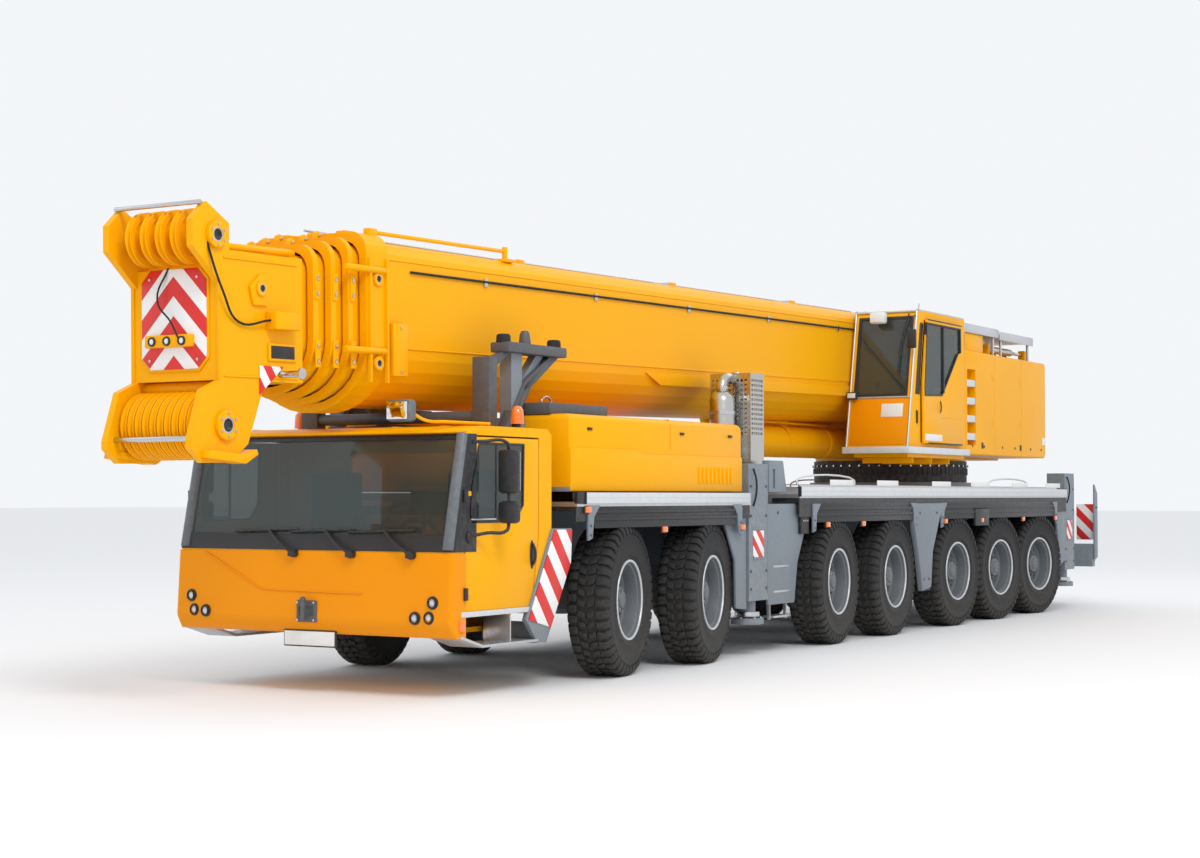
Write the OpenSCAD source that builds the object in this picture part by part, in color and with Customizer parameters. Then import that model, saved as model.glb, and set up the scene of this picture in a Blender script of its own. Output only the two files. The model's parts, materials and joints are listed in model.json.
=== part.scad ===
// Seven-axle mobile crane, millimetres.
// +Z is up, the front faces -Y and the driver's left is +X.
// The origin is on the ground, at the middle of the whole machine's box.

/* [Running gear] */
// Outside diameter of a tyre
tyre_d = 1370; // [1200:10:1500]
// Width of a tyre
tyre_w = 385; // [340:5:430]
// Diameter of the rim's outer flange
rim_d = 720; // [600:10:800]
// Distance between the middles of a left and a right tyre
track = 2620; // [2500:10:2900]
// Distance between a left and a right kingpin
kingpin_span = 2000; // [1800:10:2100]
// Diameter of a kingpin
kingpin_d = 80; // [50:5:110]
// Diameter of the spindle that a wheel turns on
spindle_d = 120; // [80:5:160]
// Axle 1 to axle 2
gap_12 = 1620; // [1500:10:1900]
// Axle 2 to axle 3, where the front outriggers stand
gap_23 = 3020; // [2900:10:3600]
// Axle 3 to axle 4
gap_34 = 1620; // [1500:10:1900]
// Axle 4 to axle 5
gap_45 = 2070; // [1950:10:2500]
// Axle 5 to axle 6
gap_56 = 1600; // [1500:10:1900]
// Axle 6 to axle 7
gap_67 = 1600; // [1500:10:1900]
// Steering angle of the first axle as the machine stands, in degrees
steer_now = 11.4; // [0:0.1:15]

/* [Chassis] */
// Width over the deck's side rails
deck_w = 3000; // [2800:10:3200]
// Width of the box frame
frame_w = 800; // [600:10:900]
// Underside of the box frame
frame_z = 920; // [880:10:1000]
// Top of the rear deck
deck_z = 1640; // [1560:10:1720]
// Thickness of the deck plates
deck_t = 40; // [20:1:60]
// Height of a side rail
rail_h = 100; // [60:5:140]
// Distance from the last axle to the rear end
rear_overhang = 2820; // [2500:10:3200]

/* [Carrier cab] */
// Width of the carrier cab
cab_w = 2860; // [2600:10:2900]
// Distance from the first axle to the cab's front
cab_front = 2640; // [2400:10:2800]
// Distance from the first axle to the cab's back wall
cab_back = 1150; // [1050:10:1200]
// Underside of the cab
cab_z = 500; // [450:10:600]
// Top of the cab's roof
cab_top = 2190; // [2050:10:2350]
// Thickness of the cab's walls and doors
cab_wall = 50; // [30:1:70]
// Length of a carrier cab door
door_l = 1080; // [900:10:1150]

/* [Engine] */
// Length of the engine cover
cover_l = 3290; // [3000:10:3400]
// Top of the engine cover
cover_top = 2340; // [2200:10:2400]
// Thickness of the cover's sheets
cover_wall = 30; // [10:1:50]

/* [Outriggers] */
// Length of the front outrigger box along the machine
obox_l = 1130; // [1050:10:1200]
// Width across the machine of an outrigger box
obox_w = 2360; // [2200:10:2400]
// Width of an outrigger beam
beam_w = 440; // [300:10:480]
// Height of an outrigger beam
beam_h = 460; // [300:10:500]
// Length of an outrigger beam inside its box
beam_l = 2300; // [2000:10:2340]
// Diameter of a jack's rod
jack_d = 170; // [100:5:220]
// Diameter of a jack's foot
foot_d = 340; // [250:10:380]

/* [Superstructure] */
// Distance from the first axle to the slewing axis
slew_y = 9700; // [9300:50:10000]
// Diameter of the slewing ring
ring_d = 2000; // [1600:50:2200]
// Top of the slewing ring, where the platform begins
platform_z = 2130; // [2100:10:2250]
// Width over the superstructure's casings
upper_w = 2820; // [2700:10:2900]
// Distance from the slewing axis to the tail
tail_r = 2370; // [2200:10:2600]
// Top of the tail casings
tail_top = 3510; // [3300:10:3700]
// Length of the crane cab
ccab_l = 1930; // [1700:10:2000]
// Gap between the boom's side and the crane cab
ccab_gap = 20; // [15:1:60]
// Top of the crane cab's roof
ccab_top = 3900; // [3700:10:4000]
// Thickness of the crane cab's walls
ccab_wall = 40; // [20:1:60]

/* [Boom] */
// Distance from the slewing axis back to the boom's pivot
pivot_back = 1200; // [1000:10:1400]
// Height of the boom's pivot
pivot_z = 3200; // [3100:10:3300]
// Diameter of the pivot pin's bore
pivot_d = 180; // [100:5:240]
// Angle of the boom as it is carried, nose down, in degrees
boom_rest = -1.1; // [-1.5:0.1:0]
// Width of the boom's base section
boom_w = 1120; // [900:10:1160]
// Height of the base section above the pivot's axis
boom_up = 785; // [600:5:800]
// Depth of the base section below the pivot's axis
boom_down = 585; // [500:5:700]
// Wall of every boom section
boom_wall = 20; // [10:1:24]
// Step from one section's outside to the next one's
boom_step = 42; // [36:1:48]
// Distance from the pivot to the front of the base section's collar
base_reach = 13560; // [13000:10:14000]
// Distance from the pivot to the head's front plate
head_reach = 15130; // [14900:10:15300]

/* [Luffing cylinder] */
// Outside diameter of the barrel
barrel_d = 380; // [300:10:400]
// Diameter of the rod
rod_d = 260; // [150:10:280]
// Diameter of the cylinder's two pins
luff_pin_d = 140; // [80:5:180]

/* [Fits] */
// Running gap at pins and shafts, on the radius
fit = 0.3; // [0.2:0.05:0.5]
// Gap between pieces that move past each other
clear = 8; // [6:1:12]

/* [Hidden] */
$fn = 48;
axle_y = [0, gap_12, gap_12 + gap_23, gap_12 + gap_23 + gap_34,
    gap_12 + gap_23 + gap_34 + gap_45, gap_12 + gap_23 + gap_34 + gap_45 + gap_56,
    gap_12 + gap_23 + gap_34 + gap_45 + gap_56 + gap_67];
// Each axle's steering angle as a share of the first axle's.
steer_share = [1, 0.97, 0.44, 0.22, -0.26, -0.48, -0.72];
tyre_r = tyre_d / 2;
tyre_x = track / 2;
kingpin_x = kingpin_span / 2;
hub_z = tyre_r;
pivot_y = slew_y + pivot_back;
rear_y = axle_y[6] + rear_overhang;
// The lower sheaves' guard rod is the machine's foremost point.
guard_ahead = 330;
guard_down = 870;
front_y = pivot_y - (head_reach + guard_ahead) * cos(boom_rest) + guard_down * sin(-boom_rest);
middle_y = (front_y + rear_y) / 2;
frame_top = deck_z - deck_t;
seat_z = deck_z + 160;
front_deck_z = deck_z - 70;
obox_y = axle_y[1] + 890;
robox_y = axle_y[6] + 1130;

// ---------- helpers ----------

// A box from its lowest to its highest corner.
module block(lo, hi) {
    translate(lo) cube([hi[0] - lo[0], hi[1] - lo[1], hi[2] - lo[2]]);
}

// A box made on both sides of the machine.
module block_pair(lo, hi) {
    block(lo, hi);
    block([-hi[0], lo[1], lo[2]], [-lo[0], hi[1], hi[2]]);
}

// A rod along X from x0 to x1.
module rod_x(d, x0, x1, y, z) {
    translate([x0, y, z]) rotate([0, 90, 0]) cylinder(d = d, h = x1 - x0);
}

// A side-view outline of [y, z] points, extruded from x0 to x1.
module side_plate(points, x0, x1) {
    translate([x1, 0, 0]) rotate([0, -90, 0]) linear_extrude(x1 - x0)
        polygon([for (p = points) [p[1], p[0]]]);
}

// The same plate on both sides of the machine.
module side_plate_pair(points, x0, x1) {
    side_plate(points, x0, x1);
    side_plate(points, -x1, -x0);
}

// Everything is drawn with the first axle at y = 0, then moved so the origin is the middle.
module at_origin() {
    translate([0, -middle_y, 0]) children();
}

// Children drawn about the boom's pivot, forward along -Y, turned to the carried angle.
module on_boom() {
    translate([0, pivot_y, pivot_z]) rotate([-boom_rest, 0, 0]) children();
}

// ---------- running gear ----------

beam_half_y = 70;
beam_half_z = 90;
eye_r = kingpin_d / 2 + 38;
arm_t = 40;
plate_x = eye_r + 27;
plate_t = 30;
knuckle_half_y = 120;
spindle_end = 90;

// Local to a kingpin: +X runs outboard, the wheel's axis is at z = 0.
module knuckle_shape() {
    arm_z = beam_half_z + clear;
    for (s = [-1, 1]) block([-eye_r, -eye_r, s > 0 ? arm_z : -arm_z - arm_t],
        [plate_x + plate_t, eye_r, s > 0 ? arm_z + arm_t : -arm_z]);
    translate([0, 0, -arm_z - arm_t]) cylinder(d = kingpin_d, h = 2 * (arm_z + arm_t));
    block([plate_x, -knuckle_half_y, -arm_z - arm_t], [plate_x + plate_t, knuckle_half_y, arm_z + arm_t]);
    // Brake drum back plate and the spindle.
    rod_x(2 * (knuckle_half_y + 60), plate_x + plate_t, plate_x + plate_t + 40, 0, 0);
    rod_x(spindle_d, plate_x, tyre_x - kingpin_x + spindle_end - 10, 0, 0);
}

// Local to a wheel's middle: +X runs outboard. Tyre, dished rim and hub in one turned piece.
module wheel_shape() {
    half = tyre_w / 2;
    flange = rim_d / 2;
    well = flange - 35;
    rotate([0, 90, 0]) rotate_extrude($fn = 96) polygon([
        [spindle_d / 2 + fit, -60], [spindle_d / 2 + fit, spindle_end],
        [0, spindle_end], [0, half - 60], [120, half - 60], [135, half - 75], [135, 20],
        [well - 40, 0], [well, 40], [well, half - 20], [flange, half - 10], [flange + 10, half - 14],
        [tyre_r - 150, half], [tyre_r - 40, half - 12], [tyre_r, half - 45],
        [tyre_r, 45 - half], [tyre_r - 40, 12 - half], [tyre_r - 150, -half],
        [flange + 10, 14 - half], [flange, 10 - half], [well, 20 - half], [well, -40],
        [well - 40, -30], [140, -60]]);
}

// A kingpin's place and turn for one axle and side (side is +1 for left).
module at_kingpin(i, side) {
    at_origin() translate([side * kingpin_x, axle_y[i], hub_z])
        rotate([0, 0, steer_now * steer_share[i]])
        rotate([0, 0, side > 0 ? 0 : 180]) children();
}

module knuckle(i, side) {
    color("dimgray") at_kingpin(i, side) knuckle_shape();
}

module wheel(i, side) {
    color([0.12, 0.12, 0.13]) at_kingpin(i, side)
        translate([tyre_x - kingpin_x, 0, 0]) wheel_shape();
}

// Seven beams, each with its differential and two suspension struts.
module axle_beams() {
    strut_x = frame_w / 2 - 110;
    color("dimgray") at_origin() for (y = axle_y) translate([0, y, hub_z]) difference() {
        union() {
            block([-kingpin_x, -beam_half_y, -beam_half_z], [kingpin_x, beam_half_y, beam_half_z]);
            for (s = [-1, 1]) translate([s * kingpin_x, 0, -beam_half_z]) cylinder(r = eye_r, h = 2 * beam_half_z);
            sphere(r = 190, $fn = 32);
            for (s = [-1, 1]) translate([s * strut_x, 0, 0]) cylinder(d = 110, h = frame_z - hub_z - fit);
        }
        for (s = [-1, 1]) translate([s * kingpin_x, 0, -beam_half_z - 1])
            cylinder(r = kingpin_d / 2 + fit, h = 2 * beam_half_z + 2);
    }
}

// ---------- chassis ----------

beam_z = 760;
slot_gap = 10;
web = 25;

// The slot that a beam slides in: 0 is the forward one of a pair.
function beam_y(box_y, box_len, k) = box_y + web + slot_gap + beam_w / 2
    + k * (box_len - 2 * web - 2 * slot_gap - beam_w);

// A cross box for one pair of outriggers, open at both sides of the machine.
module outrigger_box(y0, len, top) {
    difference() {
        block([-obox_w / 2, y0, beam_z - slot_gap - web], [obox_w / 2, y0 + len, top]);
        // The beam rests on the slot's floor.
        for (k = [0, 1]) translate([-deck_w, beam_y(y0, len, k) - beam_w / 2 - slot_gap, beam_z - fit])
            cube([2 * deck_w, beam_w + 2 * slot_gap, beam_h + slot_gap]);
    }
}

frame_floor = 40;
rail_half = 500;
bay_half = 460;
module chassis_frame() {
    front = -cab_back + fit;
    color("slategray") at_origin() {
        // Open front frame round the engine, closed box frame behind it.
        block([-rail_half, front, frame_z], [rail_half, obox_y, frame_z + frame_floor]);
        block_pair([rail_half - 90, front, frame_z], [rail_half, obox_y, front_deck_z - deck_t]);
        block([-frame_w / 2, obox_y + obox_l, frame_z], [frame_w / 2, robox_y, frame_top]);
        outrigger_box(obox_y, obox_l, frame_top);
        outrigger_box(robox_y, obox_l, frame_top);
        // Seat of the slewing ring.
        translate([0, slew_y, frame_top]) cylinder(d = ring_d + 160, h = seat_z - frame_top);
        // Rear cross member and tow hook.
        block([-frame_w / 2, robox_y + obox_l, frame_z], [frame_w / 2, rear_y - 180, frame_z + 300]);
        block([-frame_w / 2, rear_y - 180, 560], [frame_w / 2, rear_y - 60, frame_z + 300]);
        block([-deck_w / 2 + 100, rear_y - 180, 560], [deck_w / 2 - 100, rear_y - 60, 900]);
        block([-120, rear_y - 60, 620], [120, rear_y, 840]);
        // Boom rest behind the cab.
        block([rail_half - 50, -1080, frame_z], [980, -870, frame_z + 180]);
        block([760, -1080, frame_z + 180], [980, -870, 2300]);
        block([840, -1060, 2300], [960, -890, 2960]);
        side_plate([[-900, 2500], [-520, 2860], [-520, 2960], [-1060, 2960], [-1060, 2880], [-620, 2880],
            [-900, 2600]], 860, 940);
    }
}

// Deck plates round the engine bay, the outrigger boxes and the slewing ring, with side rails.
bay_front = -850;
module deck() {
    hw = deck_w / 2;
    color("lightgray") at_origin() {
        difference() {
            union() {
                block([-hw, bay_front, front_deck_z - deck_t], [hw, obox_y - 10, front_deck_z]);
                block_pair([hw - 20, bay_front, front_deck_z], [hw, obox_y - 10, front_deck_z + rail_h - 20]);
            }
            block([-bay_half, bay_front - 1, front_deck_z - deck_t - 1], [bay_half, obox_y + 1, front_deck_z + 1]);
        }
        difference() {
            union() {
                block([-hw, obox_y + obox_l + 10, frame_top], [hw, robox_y - 10, deck_z]);
                block_pair([hw - 20, obox_y + obox_l + 10, deck_z], [hw, rear_y - 2160, deck_z + rail_h]);
            }
            translate([0, slew_y, frame_top - 1]) cylinder(d = ring_d + 160 + 2 * fit, h = deck_t + 2);
        }
    }
}

// Black wheel covers under the deck's edges, with their grey end panels.
guard_z = 1400;
guard_in = 900;
module mudguard(y0, y1, top) {
    hw = deck_w / 2 - 10;
    block_pair([guard_in, y0, top - 40], [hw, y1, top]);
    block_pair([hw - 20, y0, guard_z], [hw, y1, top]);
}

module mudguards() {
    front_top = front_deck_z - deck_t;
    y45 = (axle_y[3] + axle_y[4]) / 2;
    px = deck_w / 2 - 45;
    color("dimgray") at_origin() {
        mudguard(bay_front, obox_y - 20, front_top - fit);
        mudguard(obox_y + obox_l + 20, robox_y - 20, frame_top - fit);
        side_plate_pair([[y45 - 100, 480], [y45 + 150, 480], [y45 + 330, frame_top - 20], [y45 - 380, frame_top - 20]],
            px - 40, px);
    }
}

// ---------- engine ----------

module engine_block() {
    color("gray") at_origin() block([-380, -700, frame_z + frame_floor], [380, 900, frame_z + 1180]);
}

// Full-width cover with a valley along the middle for the boom.
module engine_cover() {
    z0 = front_deck_z;
    hw = deck_w / 2 - 80;
    valley = boom_w / 2 + 100;
    valley_z = 2180;
    y1 = bay_front + cover_l;
    color("orange") at_origin() difference() {
        union() {
            block([-hw, bay_front, z0], [hw, y1, valley_z]);
            block_pair([valley, bay_front, z0], [hw, y1, cover_top]);
        }
        block([-hw + cover_wall, bay_front + cover_wall, z0 - 1], [hw - cover_wall, y1 - cover_wall, valley_z - cover_wall]);
        block_pair([valley + cover_wall, bay_front + cover_wall, z0],
            [hw - cover_wall, y1 - cover_wall, cover_top - cover_wall]);
    }
}

// Silencer tube and its perforated guard box on the deck beside the boom.
module exhaust() {
    x = 1000;
    y = 2720;
    color("silver") at_origin() {
        translate([x, y + 120, frame_top]) cylinder(d = 260, h = 2860 - frame_top);
        difference() {
            block([x - 240, y + 300, frame_top], [x + 240, y + 620, 2920]);
            block([x - 220, y + 320, frame_top - 1], [x + 220, y + 600, 2900]);
        }
    }
}

// ---------- carrier cab ----------

belt_z = 1180;
door_y0 = -cab_front + 200;
door_z0 = 670;
door_z1 = cab_top - 70;
cab_step = 180;
floor_t = 50;
floor_z = cab_z + cab_step + cab_wall + fit + floor_t;

function cab_outline(t) = [
    [-cab_front + 60 + t, cab_z + t], [-cab_front + t, cab_z + 90 + t], [-cab_front + 40 + t, belt_z],
    [-cab_front + 240 + t, cab_top - 50], [-cab_front + 320 + t, cab_top - t],
    [-cab_back - t, cab_top - t], [-cab_back - t, cab_z + cab_step + t], [-cab_back - 350, cab_z + cab_step + t],
    [-cab_back - 420, cab_z + t]];

// Each door turns on two pins just outside the wall, ahead of its front edge.
hinge_pin_d = 24;
hinge_eye_d = 44;
hinge_h = 60;
door_hinge_x = cab_w / 2 + hinge_eye_d / 2 + 2;
door_hinge_y = door_y0 - 20;
hinge_z = [door_z0 + 160, door_z1 - 500];
tow_pin_d = 60;
tow_h = 50;
tow_z = cab_z + 200;
tow_y = -cab_front - 70;

// Eyes on the cab's pillar that hold the door's pins.
module hinge_eyes() {
    for (z = hinge_z) difference() {
        union() {
            translate([door_hinge_x, door_hinge_y, z - hinge_h]) cylinder(d = hinge_eye_d, h = hinge_h);
            block([cab_w / 2 - 10, door_hinge_y - 20, z - hinge_h], [door_hinge_x, door_hinge_y - 2, z]);
        }
        translate([door_hinge_x, door_hinge_y, z - hinge_h - 1]) cylinder(d = hinge_pin_d + 2 * fit, h = hinge_h + 2);
    }
}

// The door's straps with their pins, on the left side.
module hinge_straps() {
    for (z = hinge_z) {
        translate([door_hinge_x, door_hinge_y, z - hinge_h]) cylinder(d = hinge_pin_d, h = hinge_h + 40);
        translate([door_hinge_x, door_hinge_y, z + fit]) cylinder(d = hinge_eye_d, h = 40);
        block([door_hinge_x - hinge_eye_d / 2, door_hinge_y, z + fit],
            [door_hinge_x + hinge_eye_d / 2, door_y0 + 60, z + 40]);
        block([cab_w / 2 - 1, door_y0 + 5, z + fit], [door_hinge_x, door_y0 + 60, z + 40]);
    }
}

module door_hole(grow) {
    side_plate_pair([[door_y0 - grow, door_z0 - grow], [door_y0 - grow, door_z1 + grow],
        [door_y0 + door_l + grow, door_z1 + grow], [door_y0 + door_l + grow, door_z0 - grow]],
        cab_w / 2 - cab_wall - 1, cab_w / 2 + 1);
}

module carrier_cab() {
    hw = cab_w / 2;
    slant = 200;
    color("orange") at_origin() difference() {
        side_plate(cab_outline(0), -hw, hw);
        side_plate(cab_outline(cab_wall), -hw + cab_wall, hw - cab_wall);
        // Windscreen.
        side_plate([[-cab_front - 10, belt_z + 60], [-cab_front + slant - 30, cab_top - 120],
            [-cab_front + slant + 200, cab_top - 120], [-cab_front + 200, belt_z + 60]], -hw + 110, hw - 110);
        // Back window.
        block([-700, -cab_back - 100, 1450], [700, -cab_back + 1, 2000]);
        door_hole(clear);
    }
    color("orange") at_origin() {
        hinge_eyes();
        mirror([1, 0, 0]) hinge_eyes();
    }
    // Front tow coupling: two plates bored for a pin.
    color("dimgray") at_origin() difference() {
        block([-90, tow_y - 60, tow_z - tow_h / 2], [90, -cab_front + 20, tow_z + tow_h / 2]);
        translate([0, tow_y, tow_z - tow_h]) cylinder(d = tow_pin_d, h = 2 * tow_h);
    }
}

// Floor, dashboard, two seats and the steering wheel.
module cab_interior() {
    hw = cab_w / 2 - cab_wall - fit;
    front = -cab_front + cab_wall + 60;
    back = -cab_back - cab_wall - fit;
    color([0.2, 0.2, 0.22]) at_origin() {
        block([-hw, front, floor_z - floor_t], [hw, back, floor_z]);
        block([-hw, front, floor_z], [hw, front + 260, belt_z]);
        for (x = [-750, 750]) {
            block([x - 250, back - 620, floor_z], [x + 250, back - 120, floor_z + 420]);
            block([x - 240, back - 170, floor_z + 420], [x + 240, back - 60, floor_z + 1050]);
        }
        translate([750, front + 250, belt_z - 60]) rotate([-60, 0, 0]) cylinder(d = 60, h = 240);
        translate([750, front + 455, belt_z + 55]) rotate([-60, 0, 0]) difference() {
            cylinder(d = 460, h = 30);
            translate([0, 0, -1]) cylinder(d = 400, h = 32);
        }
        translate([750, front + 455, belt_z + 55]) rotate([-60, 0, 0]) block([-215, -20, 0], [215, 20, 30]);
    }
}

// Left door with its window and mirror. Hinge pins stand on the front edge.
module left_door_shape() {
    hw = cab_w / 2;
    y1 = door_y0 + door_l;
    difference() {
        block([hw - cab_wall, door_y0, door_z0], [hw, y1, door_z1]);
        block([hw - cab_wall - 1, door_y0 + 120, 1330], [hw + 1, y1 - 140, door_z1 - 90]);
    }
    hinge_straps();
    // Mirror arm and head.
    block([hw, door_y0 + 60, 1240], [hw + 200, door_y0 + 100, 1290]);
    block([hw + 110, door_y0 + 40, 1290], [hw + 300, door_y0 + 180, 1960]);
}

module left_door() {
    color("orange") at_origin() left_door_shape();
}

module right_door() {
    color("orange") at_origin() mirror([1, 0, 0]) left_door_shape();
}

// ---------- outriggers ----------

jack_z0 = 380;
foot_t = 60;
house_x0 = obox_w / 2 + slot_gap;
house_x1 = deck_w / 2 - 50;
house_z0 = 560;
house_top = 1950;
jack_x = (house_x0 + house_x1) / 2;

// Left-hand children, mirrored for the right.
module on_side(side) {
    if (side > 0) children();
    else mirror([1, 0, 0]) children();
}

// side: +1 left, -1 right; k: forward (0) or rear (1) slot. The jack's housing is its outer end.
module outrigger_beam(box_y, side, k) {
    y = beam_y(box_y, obox_l, k);
    color("slategray") at_origin() on_side(side) difference() {
        union() {
            block([house_x0 - beam_l, y - beam_w / 2, beam_z], [house_x0 + 1, y + beam_w / 2, beam_z + beam_h]);
            block([house_x0, y - beam_w / 2, house_z0], [house_x1, y + beam_w / 2, house_top]);
        }
        translate([jack_x, y, house_z0 - 1]) cylinder(r = jack_d / 2 + fit, h = house_top - house_z0 - 60);
    }
}

module outrigger_jack(box_y, side, k) {
    y = beam_y(box_y, obox_l, k);
    color("silver") at_origin() on_side(side) {
        translate([jack_x, y, jack_z0]) cylinder(d = jack_d, h = house_top - 100 - jack_z0);
        translate([jack_x, y, jack_z0 - foot_t]) cylinder(d = foot_d, h = foot_t);
    }
}

// ---------- superstructure ----------

cheek_x = boom_w / 2 + 60;
cheek_t = 70;
foot_w = 2 * (cheek_x - clear);
luff_y = slew_y - 800;
luff_z = platform_z + 160;

module slewing_platform() {
    color("orange") at_origin() difference() {
        union() {
            translate([0, slew_y, seat_z + fit]) cylinder(d = ring_d, h = platform_z + 20 - seat_z - 2 * fit);
            block([-cheek_x - cheek_t, luff_y - 180, platform_z], [cheek_x + cheek_t, slew_y + tail_r - 20, platform_z + 60]);
            side_plate_pair([[luff_y + 500, platform_z], [pivot_y - 250, pivot_z + 60], [pivot_y - 120, pivot_z + 260],
                [pivot_y + 200, pivot_z + 260], [slew_y + tail_r - 30, platform_z + 500], [slew_y + tail_r - 30, platform_z]],
                cheek_x, cheek_x + cheek_t);
            // Ears for the luffing cylinder's foot.
            side_plate_pair([[luff_y - 170, platform_z], [luff_y - 110, luff_z + 110], [luff_y + 110, luff_z + 110],
                [luff_y + 170, platform_z]], barrel_d / 2 + clear, barrel_d / 2 + clear + 60);
            // Console under the crane cab.
            block([cheek_x + cheek_t, slew_y - 2780, platform_z - 40], [upper_w / 2 - 20, slew_y - 900, platform_z + 60]);
            block([cheek_x, luff_y - 180, platform_z - 40], [cheek_x + cheek_t + 10, slew_y - 900, platform_z + 60]);
        }
        rod_x(pivot_d + 2 * fit, -upper_w, upper_w, pivot_y, pivot_z);
        rod_x(luff_pin_d + 2 * fit, -upper_w, upper_w, luff_y, luff_z);
        rod_x(120, -upper_w, upper_w, winch_y, winch_z);
    }
}

winch_y = slew_y + 1950;
winch_z = platform_z + 400;

// Casings left and right of the boom's slot.
module tail_housing() {
    in = cheek_x + cheek_t + fit;
    y0 = slew_y - 840;
    y1 = slew_y + tail_r;
    color("orange") at_origin() {
        block([in, y0, platform_z + 20], [upper_w / 2, y1, tail_top]);
        block([-upper_w / 2, y0 - 900, platform_z + 20], [-in, y1, tail_top]);
        block_pair([in + 40, y0 + 300, tail_top], [upper_w / 2 - 60, y1 - 200, tail_top + 120]);
    }
}

module winch_drum() {
    half = cheek_x - clear;
    color("dimgray") at_origin() {
        rod_x(120 - 2 * fit, -cheek_x - cheek_t, cheek_x + cheek_t, winch_y, winch_z);
        rod_x(440, -half, half, winch_y, winch_z);
        for (s = [-1, 1]) rod_x(640, s > 0 ? half - 40 : -half, s > 0 ? half : -half + 40, winch_y, winch_z);
    }
}

// ---------- crane cab ----------

ccab_z = platform_z + 60 + fit;
ccab_y1 = slew_y - 870;
ccab_y0 = ccab_y1 - ccab_l;
ccab_x0 = boom_w / 2 + ccab_gap;
ccab_x1 = upper_w / 2 - 10;
cdoor_t = 36;
cdoor_y0 = ccab_y0 + 380;
cdoor_l = ccab_l - 560;

function ccab_outline(t) = [
    [ccab_y0 + t, ccab_z + t], [ccab_y0 + t, ccab_z + 450], [ccab_y0 + 330 + t, ccab_top - 160],
    [ccab_y0 + 420 + t, ccab_top - t], [ccab_y1 - t, ccab_top - t], [ccab_y1 - t, ccab_z + t]];

module crane_cab() {
    color("orange") at_origin() difference() {
        side_plate(ccab_outline(0), ccab_x0, ccab_x1);
        side_plate(ccab_outline(ccab_wall), ccab_x0 + ccab_wall, ccab_x1 - ccab_wall);
        // Front window.
        side_plate([[ccab_y0 - 1, ccab_z + 540], [ccab_y0 + 300, ccab_top - 200], [ccab_y0 + 520, ccab_top - 200],
            [ccab_y0 + 220, ccab_z + 540]], ccab_x0 + 70, ccab_x1 - 70);
        // Doorway.
        block([ccab_x1 - ccab_wall - 1, cdoor_y0 + 60, ccab_z + 120], [ccab_x1 + 1, cdoor_y0 + cdoor_l - 60, ccab_top - 150]);
        // Right side window.
        block([ccab_x0 - 1, cdoor_y0 + 60, ccab_z + 640], [ccab_x0 + ccab_wall + 1, cdoor_y0 + cdoor_l - 60, ccab_top - 150]);
    }
}

module crane_cab_door() {
    x0 = ccab_x1 + fit + 15;
    color("orange") at_origin() {
        difference() {
            block([x0, cdoor_y0, ccab_z + 60], [x0 + cdoor_t, cdoor_y0 + cdoor_l, ccab_top - 110]);
            block([x0 - 1, cdoor_y0 + 90, ccab_z + 700], [x0 + cdoor_t + 1, cdoor_y0 + cdoor_l - 90, ccab_top - 200]);
        }
        // Runner shoes that bear on the cab's side.
        for (z = [ccab_z + 80, ccab_top - 140])
            block([ccab_x1 + fit, cdoor_y0 + 20, z], [x0, cdoor_y0 + 140, z + 25]);
    }
}

// ---------- boom ----------

// One section's outline in the plane across the boom, inset by t from the base section's.
function boom_outline(t) =
    let (w = boom_w / 2 - t, u = boom_up - t, d = boom_down - t, r = 160) concat(
    [for (a = [90:-18:0]) [w - r + r * cos(a), u - r + r * sin(a)]],
    [for (a = [0:-12:-180]) [w * cos(a), -0.15 * d + 0.85 * d * sin(a)]],
    [for (a = [180:-18:90]) [-w + r + r * cos(a), u - r + r * sin(a)]]);

// A tube from y0 to y1 (distance ahead of the pivot) with its outside inset by t.
module boom_tube(t, wall, near, far) {
    translate([0, -near, 0]) rotate([90, 0, 0]) linear_extrude(far - near) difference() {
        polygon(boom_outline(t));
        polygon(boom_outline(t + wall));
    }
}

// Bottom of a section's outline whose outside is inset by t.
function bottom_z(t) = -(0.15 + 0.85 * sin(84)) * (boom_down - t);

// The lower pad is narrower than the flat at the bottom of the outline.
pad_half = 32;
pad_l = 260;

// Slide pads that carry section k's rear end inside the section before it.
module slide_pads(k, near) {
    t = k * boom_step;
    t_out = t - boom_step + boom_wall;
    block([-200, -near - pad_l, boom_up - t - 2], [200, -near, boom_up - t_out - fit]);
    block([-pad_half, -near - pad_l, bottom_z(t_out) + fit], [pad_half, -near, bottom_z(t) + 2]);
}

collar_t = 60;
collar_gap = 170;
function collar_at(k) = base_reach + k * collar_gap;

foot_r = 260;
eye_ahead = 6000;
eye_down = boom_down + 230;

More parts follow.
